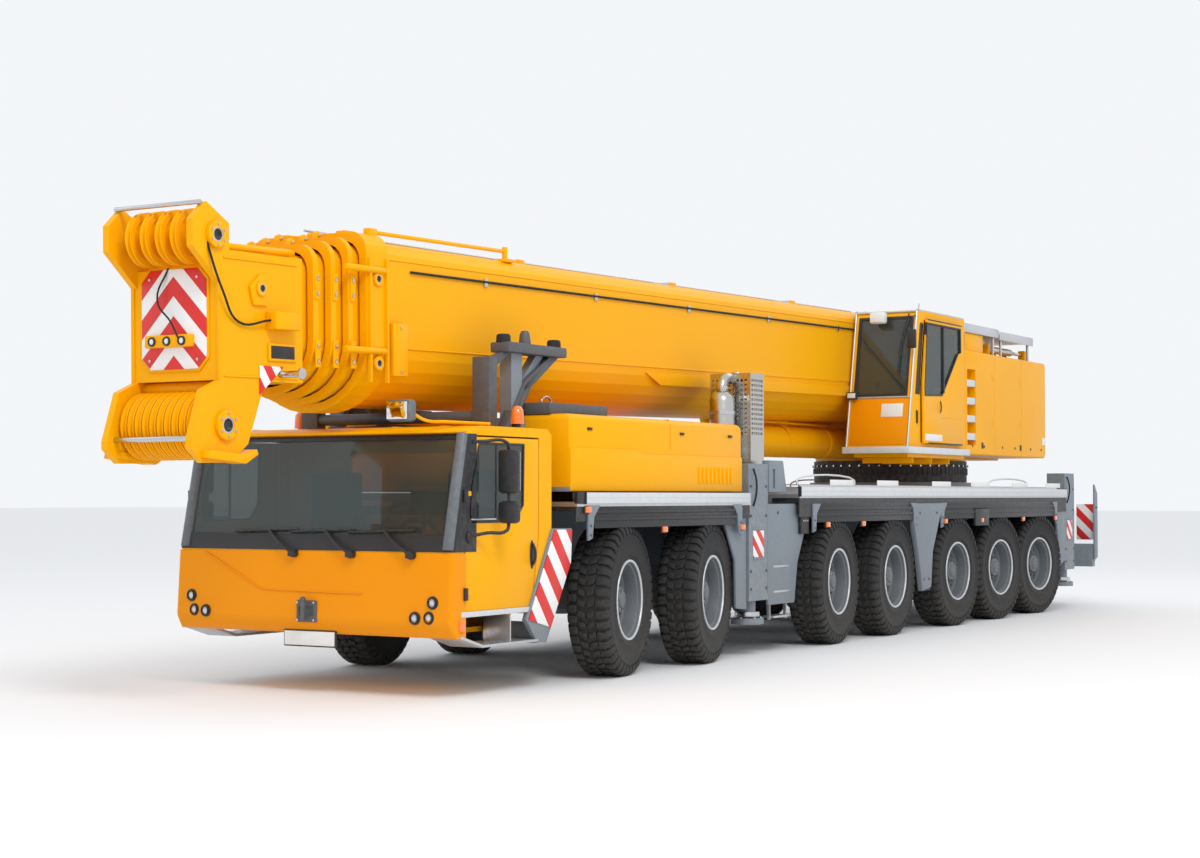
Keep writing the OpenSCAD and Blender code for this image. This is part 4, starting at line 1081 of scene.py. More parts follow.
def head_front():
    """Octagonal warning board, its frame, the lamp bar and the stiffened edges of the head box."""
    def octagon(half, low, high, corner):
        return [(-half + corner, low), (half - corner, low), (half, low + corner), (half, high - corner),
                (half - corner, high), (-half + corner, high), (-half, high - corner),
                (-half, low + corner)]
    chevrons = board_finish("Head chevrons", chevron(0.30, 0.05), 0.1, 0.42)
    board = drawn("board", octagon(0.325, -0.33, 0.43, 0.09), "Y", HEAD_FRONT - 0.022, HEAD_FRONT - 0.012,
                  0.003, chevrons)
    frame = drawn("board_frame", octagon(0.343, -0.348, 0.448, 0.097), "Y", HEAD_FRONT - 0.013, HEAD_FRONT,
                  0.003, "yellow")
    yield board
    yield frame
    for x in (-0.24, 0.24):
        for z in (-0.26, 0.36):
            yield rod("board_bolt", (x, HEAD_FRONT - 0.030, z), (x, HEAD_FRONT, z), 0.013, 6, 0.002,
                      "steel")
    yield box("lamp_bar", (-0.25, HEAD_FRONT - 0.075, -0.165), (0.21, HEAD_FRONT - 0.02, -0.070), 0.010,
              "yellow")
    for x in (-0.17, -0.02, 0.13):
        middle = (x, HEAD_FRONT - 0.075, -0.118)
        yield turned("lamp_ring", [(0.026, 0.004), (0.026, -0.014), (0.034, -0.014), (0.038, 0.004)],
                     middle, "Y", 24, "black")
        yield ball("lamp", (x, HEAD_FRONT - 0.077, -0.118), 0.027, (1, 0.4, 1), "lamp")
    for sign in (1, -1):
        yield box("edge_rib", (sign * 0.448, HEAD_FRONT - 0.012, -0.44),
                  (sign * 0.415, HEAD_FRONT + 0.012, 0.56), 0.004, "yellow")
    yield rod("cross_tube", (-0.44, -15.02, -0.475), (0.44, -15.02, -0.475), 0.055, 28, 0.003, "yellow")
    for middle, ahead, up, radius in ((UPPER_SHEAVE, -0.13, 0.235, 0.018),
                                      (LOWER_SHEAVE, -0.285, -0.10, 0.022)):
        a = middle + Vector((-0.43, ahead, up))
        b = middle + Vector((0.43, ahead, up))
        yield rod("guard_rod", a, b, radius, 20, 0.003, "steel")


def head_sides():
    """Bosses, eyes, flanges, boxes and pins on both faces of the head."""
    for sign in (1, -1):
        for middle, outer in ((UPPER_SHEAVE, 0.10), (LOWER_SHEAVE, 0.115)):
            yield from boss(sign * HEAD_SIDE, middle.y, middle.z, outer, outer * 0.56, 0.035)
            for turn in range(6):
                angle = math.radians(30 + 60 * turn)
                dot = Vector((sign * HEAD_SIDE, middle.y + math.cos(angle) * outer * 0.78,
                              middle.z + math.sin(angle) * outer * 0.78))
                yield rod("bolt", dot, dot + Vector((sign * 0.044, 0, 0)), 0.011, 6, 0.002, "steel")
        yield drawn("lug", [(-15.36, -1.00), (-14.94, -1.05), (-14.80, -0.98), (-14.82, -0.94),
                            (-14.95, -0.98), (-15.34, -0.945)], "X", sign * 0.38, sign * 0.53, 0.006,
                    "yellow")
        yield drawn("eye", [(-14.78, 0.16), (-14.62, 0.16), (-14.58, 0.30), (-14.70, 0.40), (-14.82, 0.30)],
                    "X", sign * 0.45, sign * 0.475, 0.006, "yellow")
        yield from boss(sign * 0.475, -14.70, 0.29, 0.060, 0.034, 0.02)
        yield box("junction", (sign * 0.45, -14.62, -0.02), (sign * 0.56, -14.32, 0.12), 0.012, "yellow")
        yield box("window_frame", (sign * 0.45, -14.60, -0.26), (sign * 0.466, -14.27, -0.12), 0.006,
                  "yellow")
        # The black sheet in the frame stands for the shade inside the opening in the head's side: painted
        # shade.
        yield box("window", (sign * 0.46, -14.575, -0.24), (sign * 0.469, -14.295, -0.14), 0.004, "black")
        yield rod("lock_pin", (sign * 0.40, -14.45, -0.36), (sign * 0.66, -14.45, -0.36), 0.026, 20, 0.004,
                  "steel")
        yield rod("pin_flange", (sign * 0.655, -14.45, -0.36), (sign * 0.675, -14.45, -0.36), 0.045, 24,
                  0.004, "steel")
        yield rod("top_tube", (sign * 0.30, -15.02, 0.60), (sign * 0.30, -14.12, 0.615), 0.034, 20, 0.004,
                  "yellow")
        for z in (-0.39, 0.50):
            yield pipe("weld", [(sign * HEAD_SIDE, -15.10, z), (sign * HEAD_SIDE, -14.25, z)], 0.008,
                       "yellow", smooth=False)
    striped = board_finish("Side chevrons", stripes((0, 0.80, 0.60), 0.16), gloss_high=0.42)
    yield drawn("side_board", [(-14.70, -0.30), (-14.42, -0.30), (-14.70, -0.52)], "X", 0.453, 0.463, 0.002,
                striped)
    cable = [(0.30, -15.20, 0.90), (0.44, -15.27, 0.62), (0.50, -15.16, 0.24), (0.47, -14.95, 0.02),
             (0.50, -14.62, 0.05)]
    yield pipe("cable", cable, 0.009, "rubber")
    slack = [(-0.05, -15.15, 0.44), (-0.12, -15.20, 0.20), (0.02, -15.20, 0.02), (0.10, -15.21, -0.10)]
    yield pipe("lamp_cable", slack, 0.007, "rubber")


def collar(rear_y, grow):
    """Ears with pins on a collar's top, and plates and bolts of its slide pads on its sides."""
    half = BOOM_HALF + grow
    top = 0.785 + grow
    for x in (-0.20, 0.20):
        yield drawn("ear", [(rear_y, top - 0.02), (rear_y + 0.10, top - 0.02),
                            (rear_y + 0.085, top + 0.045), (rear_y + 0.05, top + 0.062),
                            (rear_y + 0.015, top + 0.045)], "X", x - 0.018, x + 0.018, 0.004, "yellow")
        yield rod("ear_pin", (x - 0.036, rear_y + 0.05, top + 0.022),
                  (x + 0.036, rear_y + 0.05, top + 0.022), 0.014, 16, 0.002, "steel")
    for sign in (1, -1):
        for z in (0.42, 0.30, -0.12, -0.24):
            yield rod("pad_bolt", (sign * half, rear_y + 0.05, z),
                      (sign * (half + 0.022), rear_y + 0.05, z), 0.019, 6, 0.003, "steel")
        for z in (0.25, -0.29):
            yield box("pad_plate", (sign * (half - 0.004), rear_y + 0.02, z),
                      (sign * (half + 0.012), rear_y + 0.085, z + 0.22), 0.004, "yellow")


def base_collar():
    """Ribs, bosses, side boxes, guide bars and top cleats on the base tube's wide collar."""
    front, rear, grow, _ = COLLARS[0]
    half = BOOM_HALF + grow
    for sign in (1, -1):
        for y in (front + 0.02, rear - 0.045):
            yield box("collar_rib", (sign * (half - 0.01), y, -0.40),
                      (sign * (half + 0.030), y + 0.025, 0.62), 0.006, "yellow")
        for y, z in ((-13.415, 0.45), (-13.415, -0.24), (-13.10, -0.26)):
            yield from boss(sign * (half - 0.004 - 0.05 * (y > -13.2)), y, z, 0.060, 0.034, 0.026)
        yield box("side_box", (sign * (half - 0.02), -13.24, -0.34), (sign * (half + 0.035), -13.04, 0.10),
                  0.012, "yellow")
        for z in (-0.30, 0.06):
            yield rod("bolt", (sign * half, -13.14, z), (sign * (half + 0.045), -13.14, z), 0.013, 6, 0.002,
                      "steel")
        x = sign * (half + 0.018)
        for z in (0.52, -0.14):
            yield rod("side_bar", (x, -13.86, z), (x, -13.34, z), 0.028, 20, 0.006, "yellow")
    for x in (-0.30, 0.0, 0.30):
        yield box("top_cleat", (x - 0.05, -13.50, 0.83), (x + 0.05, -13.34, 0.862), 0.008, "yellow")


def base_details():
    """Weld lines, plate overlaps, clips, side lines, tie rods and rope rollers along the base tube."""
    for sign in (1, -1):
        x = sign * (BOOM_HALF + 0.001)
        for y, z in ((-13.25, 0.630), (-13.02, -0.10)):
            yield pipe("weld", [(x, y, z), (x, -2.2, z)], 0.007, "yellow", smooth=False)
        yield drawn("overlay", [(-8.90, -0.16), (-8.60, -0.28), (-2.2, -0.28), (-1.6, -0.16)], "X",
                    sign * (BOOM_HALF - 0.01), sign * (BOOM_HALF + 0.010), 0.004, "yellow")
        for y in (-11.8, -9.9, -8.0, -6.1, -4.2):
            yield box("clip", (sign * (BOOM_HALF - 0.004), y, 0.500),
                      (sign * (BOOM_HALF + 0.020), y + 0.05, 0.575), 0.004, "steel")
        x = sign * (BOOM_HALF + 0.016)
        yield pipe("side_line", [(x, -12.9, 0.545), (x, -2.5, 0.545)], 0.011, "rubber", smooth=False)
    for x in (-0.46, 0.46):
        yield rod("tie_rod", (x, -13.28, 0.855), (x, -11.34, 0.865), 0.018, 16, 0.003, "yellow")
        yield rod("tie_post", (x, -11.30, 0.60), (x, -11.30, 0.905), 0.026, 16, 0.004, "yellow")
        yield box("tie_foot", (x - 0.06, -11.38, 0.765), (x + 0.06, -11.22, 0.795), 0.006, "yellow")
        yield box("tie_fork", (x - 0.035, -13.36, 0.80), (x + 0.035, -13.25, 0.885), 0.010, "yellow")
    for y in (-10.6, -7.6, -4.6, -2.3):
        for x in (-0.17, 0.17):
            yield box("roller_cheek", (x - 0.014, y - 0.06, 0.775), (x + 0.014, y + 0.06, 0.865), 0.005,
                      "yellow")
        yield rod("roller", (-0.155, y, 0.835), (0.155, y, 0.835), 0.036, 24, 0.004, "steel")
    for y in (-12.2, -9.2, -6.4, -3.4):
        yield box("plate_seam", (-0.41, y, 0.782), (0.41, y + 0.03, 0.792), 0.003, "yellow")


def rope_run():
    """Hoist rope over the boom's rollers, from the rearmost roller to the upper rope wheels."""
    x = -0.075
    return pipe("rope", [(x, -2.3, 0.880), (x, -4.6, 0.880), (x, -10.6, 0.880), (x, -13.5, 0.885)], 0.011,
                "steel", smooth=False)


class CRANE_OT_boom(bpy.types.Operator):
    """Head with its rope wheels and warning board, section collars and details of the base tube"""
    bl_idname = "crane.boom"
    bl_label = "Boom and head"

    def execute(self, context):
        keep(join("head_rope_wheels", *head_sheave_sets()), "boom_head", "yellow_paint", "head_sheaves",
             where=ON_BOOM)
        keep(join("head_front", *head_front()), "boom_head", "yellow_paint", where=ON_BOOM)
        keep(join("head_sides", *head_sides()), "boom_head", "yellow_paint", where=ON_BOOM)
        for front, _, grow, body in COLLARS[1:]:
            keep(join(body + "_collar", *collar(front, grow)), body, "yellow_paint", where=ON_BOOM)
        keep(join("boom_base_collar", *base_collar()), "boom_base", "yellow_paint", where=ON_BOOM)
        keep(join("boom_base_details", *base_details(), rope_run()), "boom_base", "yellow_paint",
             where=ON_BOOM)
        return {"FINISHED"}


# ---------- carrier body ----------

SIDE_X = 1.435
MUDGUARD_SPANS = ((-0.66, 2.30), (3.98, 6.93), (7.72, 12.20))
LAMP_Y = (-0.674, 0.70, 2.30, 4.35, 5.31, 7.85, 9.13, 10.73, 12.10)
OUTRIGGERS = (("front_left", 1), ("front_right", -1), ("rear_left", 1), ("rear_right", -1))


def engine_cover():
    """Hollow cover over the engine: pressed crease, proud lower panel, lid lines and side vents."""
    shell = box("cover", (-1.42, -0.85, 1.66), (1.42, 2.44, 2.34), bevel=0, finish="yellow")
    shell = bevel_where(shell, 0.06, 4, lambda v: v.z > 2.33 and abs(v.x) > 1.4)
    inside = box("inside", (-1.37, -0.80, 1.50), (1.37, 2.39, 2.29), 0)
    trough = box("trough", (-0.70, -1.0, 2.17), (0.70, 2.6, 2.6), 0)
    shell = soften(cut(shell, inside, trough), 0.008)
    floor = box("trough_floor", (-0.74, -0.84, 2.13), (0.74, 2.43, 2.17), 0.006, "yellow")
    yield shell
    yield floor
    crease = [(-0.845, 2.045), (0.30, 2.045), (0.42, 2.008), (2.435, 2.008), (2.435, 1.665),
              (-0.845, 1.665)]
    panel = drawn("panel", crease, "X", 1.415, SIDE_X, 0.007, "yellow")
    yield from both(panel)
    for sign in (1, -1):
        for i in range(9):
            y = 1.50 + 0.085 * i
            yield box("slat", (sign * 1.425, y, 1.74), (sign * 1.447, y + 0.030, 1.90), 0.006, "yellow")
        for y in (-0.55, 1.15, 2.15):
            yield box("latch", (sign * 1.42, y, 2.20), (sign * 1.434, y + 0.075, 2.225), 0.004, "black")
        # The lid seams are thin strips of the darker yellow: painted shade in the gaps round the lid.
        yield box("lid_seam", (sign * 1.405, 0.96, 2.06), (sign * 1.4225, 0.972, 2.30), 0.002, "fascia")
        yield box("lid_seam", (sign * 1.405, 0.96, 2.332), (sign * 0.72, 0.972, 2.343), 0.002, "fascia")
        # The vent slots on the top are black strips laid on the cover: painted shade for the dark inside of
        # the slots.
        for y in (-0.60, 1.30):
            for i in range(6):
                yield box("top_slot_shade", (sign * (0.82 + 0.08 * i), y, 2.336),
                          (sign * (0.85 + 0.08 * i), y + 0.62, 2.344), 0.003, "black")
        yield box("corner_sill", (sign * 1.21, -0.862, 1.662), (sign * 1.432, -0.846, 1.70), 0.003, "grey")


def side_rails():
    """One side's edge rails of the deck with their caps, tread ribs, blank strips and grab rails."""
    for y0, y1 in ((-0.71, 2.44), (3.66, 12.62)):
        rise = 0.065 if y0 > 0 else 0.0
        rail = box("rail", (1.497, y0, 1.555 + rise), (1.516, y1, 1.652 + rise), 0.004, "white")
        groove = box("groove", (1.513, y0 - 0.1, 1.598 + rise), (1.53, y1 + 0.1, 1.606 + rise), 0)
        yield soften(cut(rail, groove), 0.002, 1)
        yield box("rail_cap", (1.480, y0 - 0.012, 1.550 + rise), (1.518, y0 + 0.002, 1.658 + rise), 0.003,
                  "black")
    yield box("rail_dark", (1.470, -0.85, 1.552), (1.508, -0.72, 1.655), 0.004, "black")
    for y in (4.45, 5.75, 7.45, 8.85, 10.35, 11.75):
        yield box("blank_strip", (1.484, y, 1.738), (1.494, y + 0.62, 1.800), 0.003, "plate")
    yield repeat(box("tread_rib", (0.98, 3.75, 1.740), (1.46, 3.765, 1.747), 0.002, "aluminium"), 88,
                 (0, 0.10, 0))
    for y in (3.72, 9.6):
        yield pipe("grab_rail", [(1.435, y, 1.74), (1.435, y, 1.795), (1.435, y + 1.5, 1.795),
                                 (1.435, y + 1.5, 1.74)], 0.011, "white")


def mudguards():
    """One side's ribbed dark mudguards, grey end plates and amber lamps."""
    for y0, y1 in MUDGUARD_SPANS:
        outline = [(1.478, 1.545), (1.492, 1.545), (1.492, 1.500), (1.503, 1.495), (1.503, 1.470),
                   (1.492, 1.465), (1.492, 1.435), (1.503, 1.430), (1.503, 1.405), (1.492, 1.400),
                   (1.500, 1.340), (1.478, 1.335)]
        yield drawn("skirt", outline, "Y", y0 + 0.11, y1 - 0.11, 0.002, "black")
        for y, way in ((y0, 1), (y1, -1)):
            arch = [(y, 1.54), (y + way * 0.20, 1.54), (y + way * 0.10, 1.44), (y + way * 0.07, 1.25),
                    (y, 1.23)]
            yield drawn("end_plate", arch, "X", 1.480, 1.506, 0.006, "grey")
        for y in (y0 + 0.035, y1 - 0.035):
            for z in (1.28, 1.36):
                yield rod("plate_bolt", (1.503, y, z), (1.514, y, z), 0.012, 6, 0.002, "dark_grey")
    for y in LAMP_Y:
        z = 1.475 if y < 0 else 1.285
        yield box("side_lamp", (1.498, y - 0.045, z), (1.520, y + 0.045, z + 0.055), 0.008, "amber")
        yield box("lamp_base", (1.478, y - 0.052, z - 0.007), (1.504, y + 0.052, z + 0.062), 0.004, "black")
    yield box("fluid_box", (1.470, 8.88, 1.24), (1.516, 9.38, 1.46), 0.014, "black")
    panel = [(6.80, 1.535), (7.86, 1.535), (7.66, 1.36), (7.42, 0.95), (7.36, 0.52), (7.08, 0.48),
             (6.97, 0.90), (6.83, 1.30)]
    yield drawn("grey_panel", panel, "X", 1.440, 1.508, 0.010, "grey")
    for y, z in ((7.0, 1.42), (7.55, 1.42), (7.12, 0.62), (7.28, 0.62)):
        yield rod("panel_bolt", (1.504, y, z), (1.516, y, z), 0.016, 6, 0.002, "dark_grey")
    rear = [(12.14, 1.535), (12.62, 1.535), (12.62, 0.70), (12.36, 0.62), (12.30, 1.10), (12.20, 1.38)]
    yield drawn("rear_panel", rear, "X", 1.440, 1.480, 0.010, "grey")


def outrigger_sides(sign, front):
    """Grey plates and the folded upper guard beside the sliding beam's mouth."""
    if front:
        before = [(1.945, 1.54), (2.28, 0.98), (2.30, 0.50), (2.525, 0.48), (2.525, 1.54)]
        after = [(3.02, 1.54), (4.07, 1.54), (3.73, 0.92), (3.65, 0.50), (3.02, 0.50)]
        if sign < 0:
            before = [(1.945, 1.54), (2.28, 0.98), (2.30, 0.50), (3.14, 0.48), (3.14, 1.54)]
            after = [(3.63, 1.54), (4.07, 1.54), (3.80, 0.98), (3.74, 0.50), (3.63, 0.50)]
    else:
        before = [(12.60, 1.70), (12.60, 0.70), (12.66, 0.66), (12.66, 1.70)]
        after = [(14.20, 1.80), (14.34, 1.66), (14.34, 0.70), (14.20, 0.66)]
    for outline in (before, after):
        low, high = sorted((sign * 1.405, sign * SIDE_X))
        yield drawn("side_plate", outline, "X", low, high, 0.008, "grey")
        ys = [point[0] for point in outline]
        for y in (min(ys) + 0.2 * (max(ys) - min(ys)) + 0.02, max(ys) - 0.2 * (max(ys) - min(ys)) - 0.02):
            yield rod("plate_bolt", (sign * (SIDE_X - 0.004), y, 1.45), (sign * (SIDE_X + 0.010), y, 1.45),
                      0.015, 6, 0.002, "dark_grey")


def carrier_middle():
    """Side plates of all outriggers, and the guards, ladders and control boxes at the front ones."""
    for name, sign in OUTRIGGERS:
        yield from outrigger_sides(sign, name.startswith("front"))
    for sign in (1, -1):
        low, high = sorted((sign * 1.36, sign * 1.445))
        upper = drawn("upper_guard", [(3.03, 1.66), (3.03, 1.99), (3.37, 1.99), (3.46, 1.66)], "X", low,
                      high, 0.012, "grey")
        upper = cut(upper, box("slot", (-1.6, 3.12, 1.70), (1.6, 3.17, 1.90), 0))
        yield upper
        for z in (0.36, 0.62, 0.88):
            yield box("ladder_tread", (sign * 1.27, 3.14, z), (sign * 1.44, 3.52, z + 0.022), 0.004,
                      "aluminium")
        for y in (3.13, 3.52):
            yield box("ladder_side", (sign * 1.36, y, 0.34), (sign * 1.40, y + 0.014, 1.10), 0.004,
                      "aluminium")
        yield box("control_box", (sign * 1.436, 3.74, 1.22), (sign * 1.474, 3.94, 1.44), 0.010, "black")
        for i in range(3):
            yield rod("button", (sign * 1.474, 3.79 + 0.05 * i, 1.36),
                      (sign * 1.482, 3.79 + 0.05 * i, 1.36), 0.012, 12, 0.002, "steel")


def beam_dressing(name, sign):
    """Striped cover, bolts, edge strips and hose on the end of one sliding outrigger beam."""
    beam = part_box(f"{name}_beam")
    y0 = beam[0].y - AXLE_1
    y1 = beam[1].y - AXLE_1
    middle = (y0 + y1) / 2
    outer = 1.45
    striped = board_finish(f"{name} stripes", stripes((0, 0.70, 0.70), 0.14, 0.2), 0.1)
    for z0, z1, finish in ((1.00, 1.27, striped), (1.275, 1.30, "grey"), (0.975, 0.995, "grey")):
        yield box("cover", (sign * (outer - 0.004), middle - 0.12, z0),
                  (sign * (outer + 0.006), middle + 0.12, z1), 0.003, finish)
    for z in (0.68, 0.86, 1.42, 1.72):
        for y in (y0 + 0.045, y1 - 0.045):
            yield rod("bolt", (sign * (outer - 0.004), y, z), (sign * (outer + 0.012), y, z), 0.014, 6,
                      0.002, "dark_grey")
    for y in (y0 + 0.002, y1 - 0.020):
        yield box("edge_strip", (sign * (outer - 0.01), y, 0.62), (sign * (outer + 0.004), y + 0.018, 1.90),
                  0.004, "grey")
    yield pipe("hose", [(sign * (outer + 0.012), y0 + 0.09, 1.90),
                        (sign * (outer + 0.045), y0 + 0.09, 1.78),
                        (sign * (outer + 0.030), y0 + 0.10, 1.60),
                        (sign * (outer + 0.004), y0 + 0.10, 1.52)], 0.010, "rubber")


def jack_dressing(name):
    """Wiper ring and foot bolts of one outrigger jack."""
    lo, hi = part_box(f"{name}_jack")
    x = (lo.x + hi.x) / 2
    y = (lo.y + hi.y) / 2 - AXLE_1
    yield turned("wiper", [(0.095, 0), (0.125, 0), (0.130, 0.02), (0.125, 0.05), (0.095, 0.05)],
                 (x, y, lo.z + 0.075), "Z", 32, "steel")
    for turn in range(6):
        angle = math.radians(60 * turn + 30)
        spot = Vector((x + 0.138 * math.cos(angle), y + 0.138 * math.sin(angle), lo.z + 0.05))
        yield rod("foot_bolt", spot, spot + Vector((0, 0, 0.022)), 0.013, 6, 0.002, "steel")


def boom_rest():
    """Dark brackets behind the cab that carry the boom on the road, with their caps and crates."""
    post = box("post", (0.84, -1.49, 2.19), (1.02, -1.36, 2.81), 0.012, "dark_grey")
    beam = box("beam", (0.83, -1.20, 2.865), (1.03, -0.25, 2.955), 0.014, "dark_grey")
    strut = drawn("strut", [(-1.18, 2.20), (-1.05, 2.20), (-0.76, 2.58), (-0.30, 2.87), (-0.46, 2.87),
                            (-0.87, 2.63)], "X", 0.88, 0.98, 0.012, "dark_grey")
    strut = cut(strut, rod("hole", (0.8, -0.86, 2.56), (1.1, -0.86, 2.56), 0.022, 20))
    web = drawn("web", [(-1.48, 2.74), (-1.37, 2.81), (-1.18, 2.87), (-1.05, 2.87), (-1.37, 2.70)], "X",
                0.90, 0.96, 0.008, "dark_grey")
    parts = [post, beam, strut, web]
    for y in (-1.14, -0.32):
        parts.append(turned("cap", [(0, 0.075), (0.05, 0.07), (0.062, 0.055), (0.064, 0), (0, 0)],
                            (0.93, y, 2.955), "Z", 28, "rubber"))
    parts.append(turned("beacon", [(0, 0.125), (0.030, 0.12), (0.045, 0.09), (0.056, 0.0), (0, 0)],
                        (0.93, -0.80, 2.955), "Z", 28, "dark_grey"))
    mesh = both(*parts)
    cross = rod("cross_tube", (-0.86, -1.425, 2.30), (0.86, -1.425, 2.30), 0.05, 24, 0.004, "dark_grey")
    crate = box("crate", (-1.22, -0.84, 2.335), (-0.74, 0.15, 2.44), 0.016, "dark_grey")
    other = box("crate", (0.74, -0.84, 2.335), (1.22, 0.15, 2.44), 0.016, "dark_grey")
    loops = [pipe("loop", [(x, -0.60, 2.44), (x, -0.60, 2.475), (x, -0.45, 2.475), (x, -0.45, 2.44)], 0.009,
                  "steel") for x in (-0.98, 0.98)]
    return [*mesh, cross, crate, other, *loops]


def exhaust():
    """Polished silencer with a domed top and elbow, and the perforated guard around the outlet."""
    x, y = 1.0, 2.84
    yield turned("can", [(0, 1.10), (0.075, 1.09), (0.115, 1.05), (0.130, 1.00), (0.130, 0.04), (0.115, 0),
                         (0, 0)], (x, y, 1.61), "Z", 48, "stainless")
    for z in (1.72, 2.10, 2.48):
        yield turned("band", [(0.129, -0.018), (0.138, -0.018), (0.138, 0.018), (0.129, 0.018)], (x, y, z),
                     "Z", 40, "steel")
    elbow = [(x, y, 2.66), (x, y, 2.76), (x, y + 0.05, 2.83), (x, y + 0.20, 2.84), (x, y + 0.27, 2.80),
             (x, y + 0.28, 2.62)]
    yield pipe("elbow", elbow, 0.055, "stainless", sides=6)
    yield turned("clamp", [(0.056, -0.015), (0.066, -0.015), (0.066, 0.015), (0.056, 0.015)], (x, y, 2.74),
                 "Z", 28, "steel")
    guard = box("guard", (0.765, 3.025, 1.66), (1.235, 3.335, 2.90), 0, "stainless")
    inner = box("guard_inside", (0.775, 3.035, 1.60), (1.225, 3.325, 2.892), 0)
    side_holes = grid(box("hole", (0.70, 3.05, 2.26), (1.30, 3.076, 2.286), 0),
                      (6, (0, 0.045, 0)), (12, (0, 0, 0.05)))
    front_holes = grid(box("hole", (0.79, 2.9, 2.26), (0.816, 3.4, 2.286), 0),
                       (9, (0.047, 0, 0)), (12, (0, 0, 0.05)))
    yield cut(guard, inner, side_holes, front_holes)
    yield rod("outlet", (x, 3.18, 2.2), (x, 3.18, 2.915), 0.07, 28, 0.003, "stainless")
    yield box("foot", (0.78, 2.72, 1.60), (1.22, 3.33, 1.66), 0.008, "dark_grey")


def rear_end():
    """Coupling, lamps, bumper, striped boards and wheel chocks at the back of the carrier."""
    yield box("bumper", (-1.38, 14.30, 0.62), (1.38, 14.40, 0.90), 0.020, "grey")
    yield box("lamp_rail", (-1.36, 14.385, 0.70), (1.36, 14.412, 0.82), 0.010, "black")
    yield box("number_plate", (-0.26, 14.408, 0.70), (0.26, 14.420, 0.81), 0.004, "plate")
    yield box("coupling", (-0.20, 14.38, 0.88), (0.20, 14.52, 1.22), 0.020, "dark_grey")
    yield rod("coupling_pin", (0, 14.60, 0.86), (0, 14.60, 1.26), 0.032, 24, 0.006, "steel")
    yield box("jaw_low", (-0.13, 14.50, 0.94), (0.13, 14.68, 0.99), 0.016, "dark_grey")
    yield box("jaw_high", (-0.13, 14.50, 1.11), (0.13, 14.68, 1.16), 0.016, "dark_grey")
    yield pipe("pin_handle", [(0, 14.60, 1.26), (0.10, 14.62, 1.30), (0.24, 14.60, 1.28)], 0.011, "red")
    for sign in (1, -1):
        for i, finish in enumerate(("red", "amber", "red", "lamp")):
            x = sign * (1.30 - 0.13 * i)
            yield turned("ring", [(0.042, 0), (0.052, 0), (0.054, 0.018), (0.044, 0.020)],
                         (x, 14.405, 0.76), "Y", 24, "black")
            yield ball("lens", (x, 14.408, 0.76), 0.044, (1, 0.35, 1), finish)
        yield drawn("chock", [(14.16, 1.24), (14.30, 1.24), (14.30, 1.40)], "X",
                    *sorted((sign * 0.80, sign * 0.98)), 0.008, "amber")
        low, high = sign * 0.78, sign * 1.00
        yield box("chock_holder", (low, 14.288, 0.86), (high, 14.318, 1.42), 0.004, "grey")
        yield box("chock_shelf", (low, 14.150, 1.226), (high, 14.300, 1.242), 0.004, "grey")
        yield box("board", (sign * 1.10, 14.355, 0.96), (sign * 1.36, 14.372, 1.50), 0.004,
                  board_finish(f"Rear stripes {sign}", stripes((0.70 * sign, 0, 0.70), 0.20)))


class CRANE_OT_carrier_body(bpy.types.Operator):
    """Engine cover, deck rails, mudguards, outriggers, boom rest, exhaust and rear end"""
    bl_idname = "crane.carrier_body"
    bl_label = "Carrier body"

    def execute(self, context):
        keep(join("engine_hood", *engine_cover()), "carrier", "yellow_paint", "engine_cover")
        keep(join("deck_rails", *both(*side_rails())), "carrier", "aluminium")
        keep(join("mudguard_trim", *both(*mudguards())), "carrier", "black_plastic")
        keep(join("side_plates", *carrier_middle()), "carrier", "grey_paint")
        for name, sign in OUTRIGGERS:
            keep(join(f"{name}_beam_trim", *beam_dressing(name, sign)), f"{name}_beam", "grey_paint")
            keep(join(f"{name}_jack_trim", *jack_dressing(name)), f"{name}_jack", "bright_steel")
        keep(join("boom_rest", *boom_rest()), "carrier", "grey_paint")
        keep(join("silencer", *exhaust()), "carrier", "stainless", "exhaust")
        keep(join("rear_trim", *rear_end()), "carrier", "grey_paint")
        return {"FINISHED"}


# ---------- upper works ----------

UPPER_CAB = (0.582, 1.398)
UPPER_SIDE = [(6.905, 2.195), (8.825, 2.195), (8.825, 3.86), (8.79, 3.895), (7.29, 3.895), (7.235, 3.86)]
SIDE_WINDOW = [(7.43, 3.745), (8.585, 3.745), (8.590, 3.44), (8.50, 3.42), (7.93, 2.86), (7.345, 2.84),
               (7.340, 2.95)]
SLEW_LOCAL = (0, SLEW_Y - AXLE_1, 0)


def lean_y(z):
    """How far forward the slanted front of the crane cab stands at a height."""
    (y0, z0), (y1, z1) = UPPER_SIDE[0], UPPER_SIDE[-1]
    return y0 + (z - z0) * (y1 - y0) / (z1 - z0)


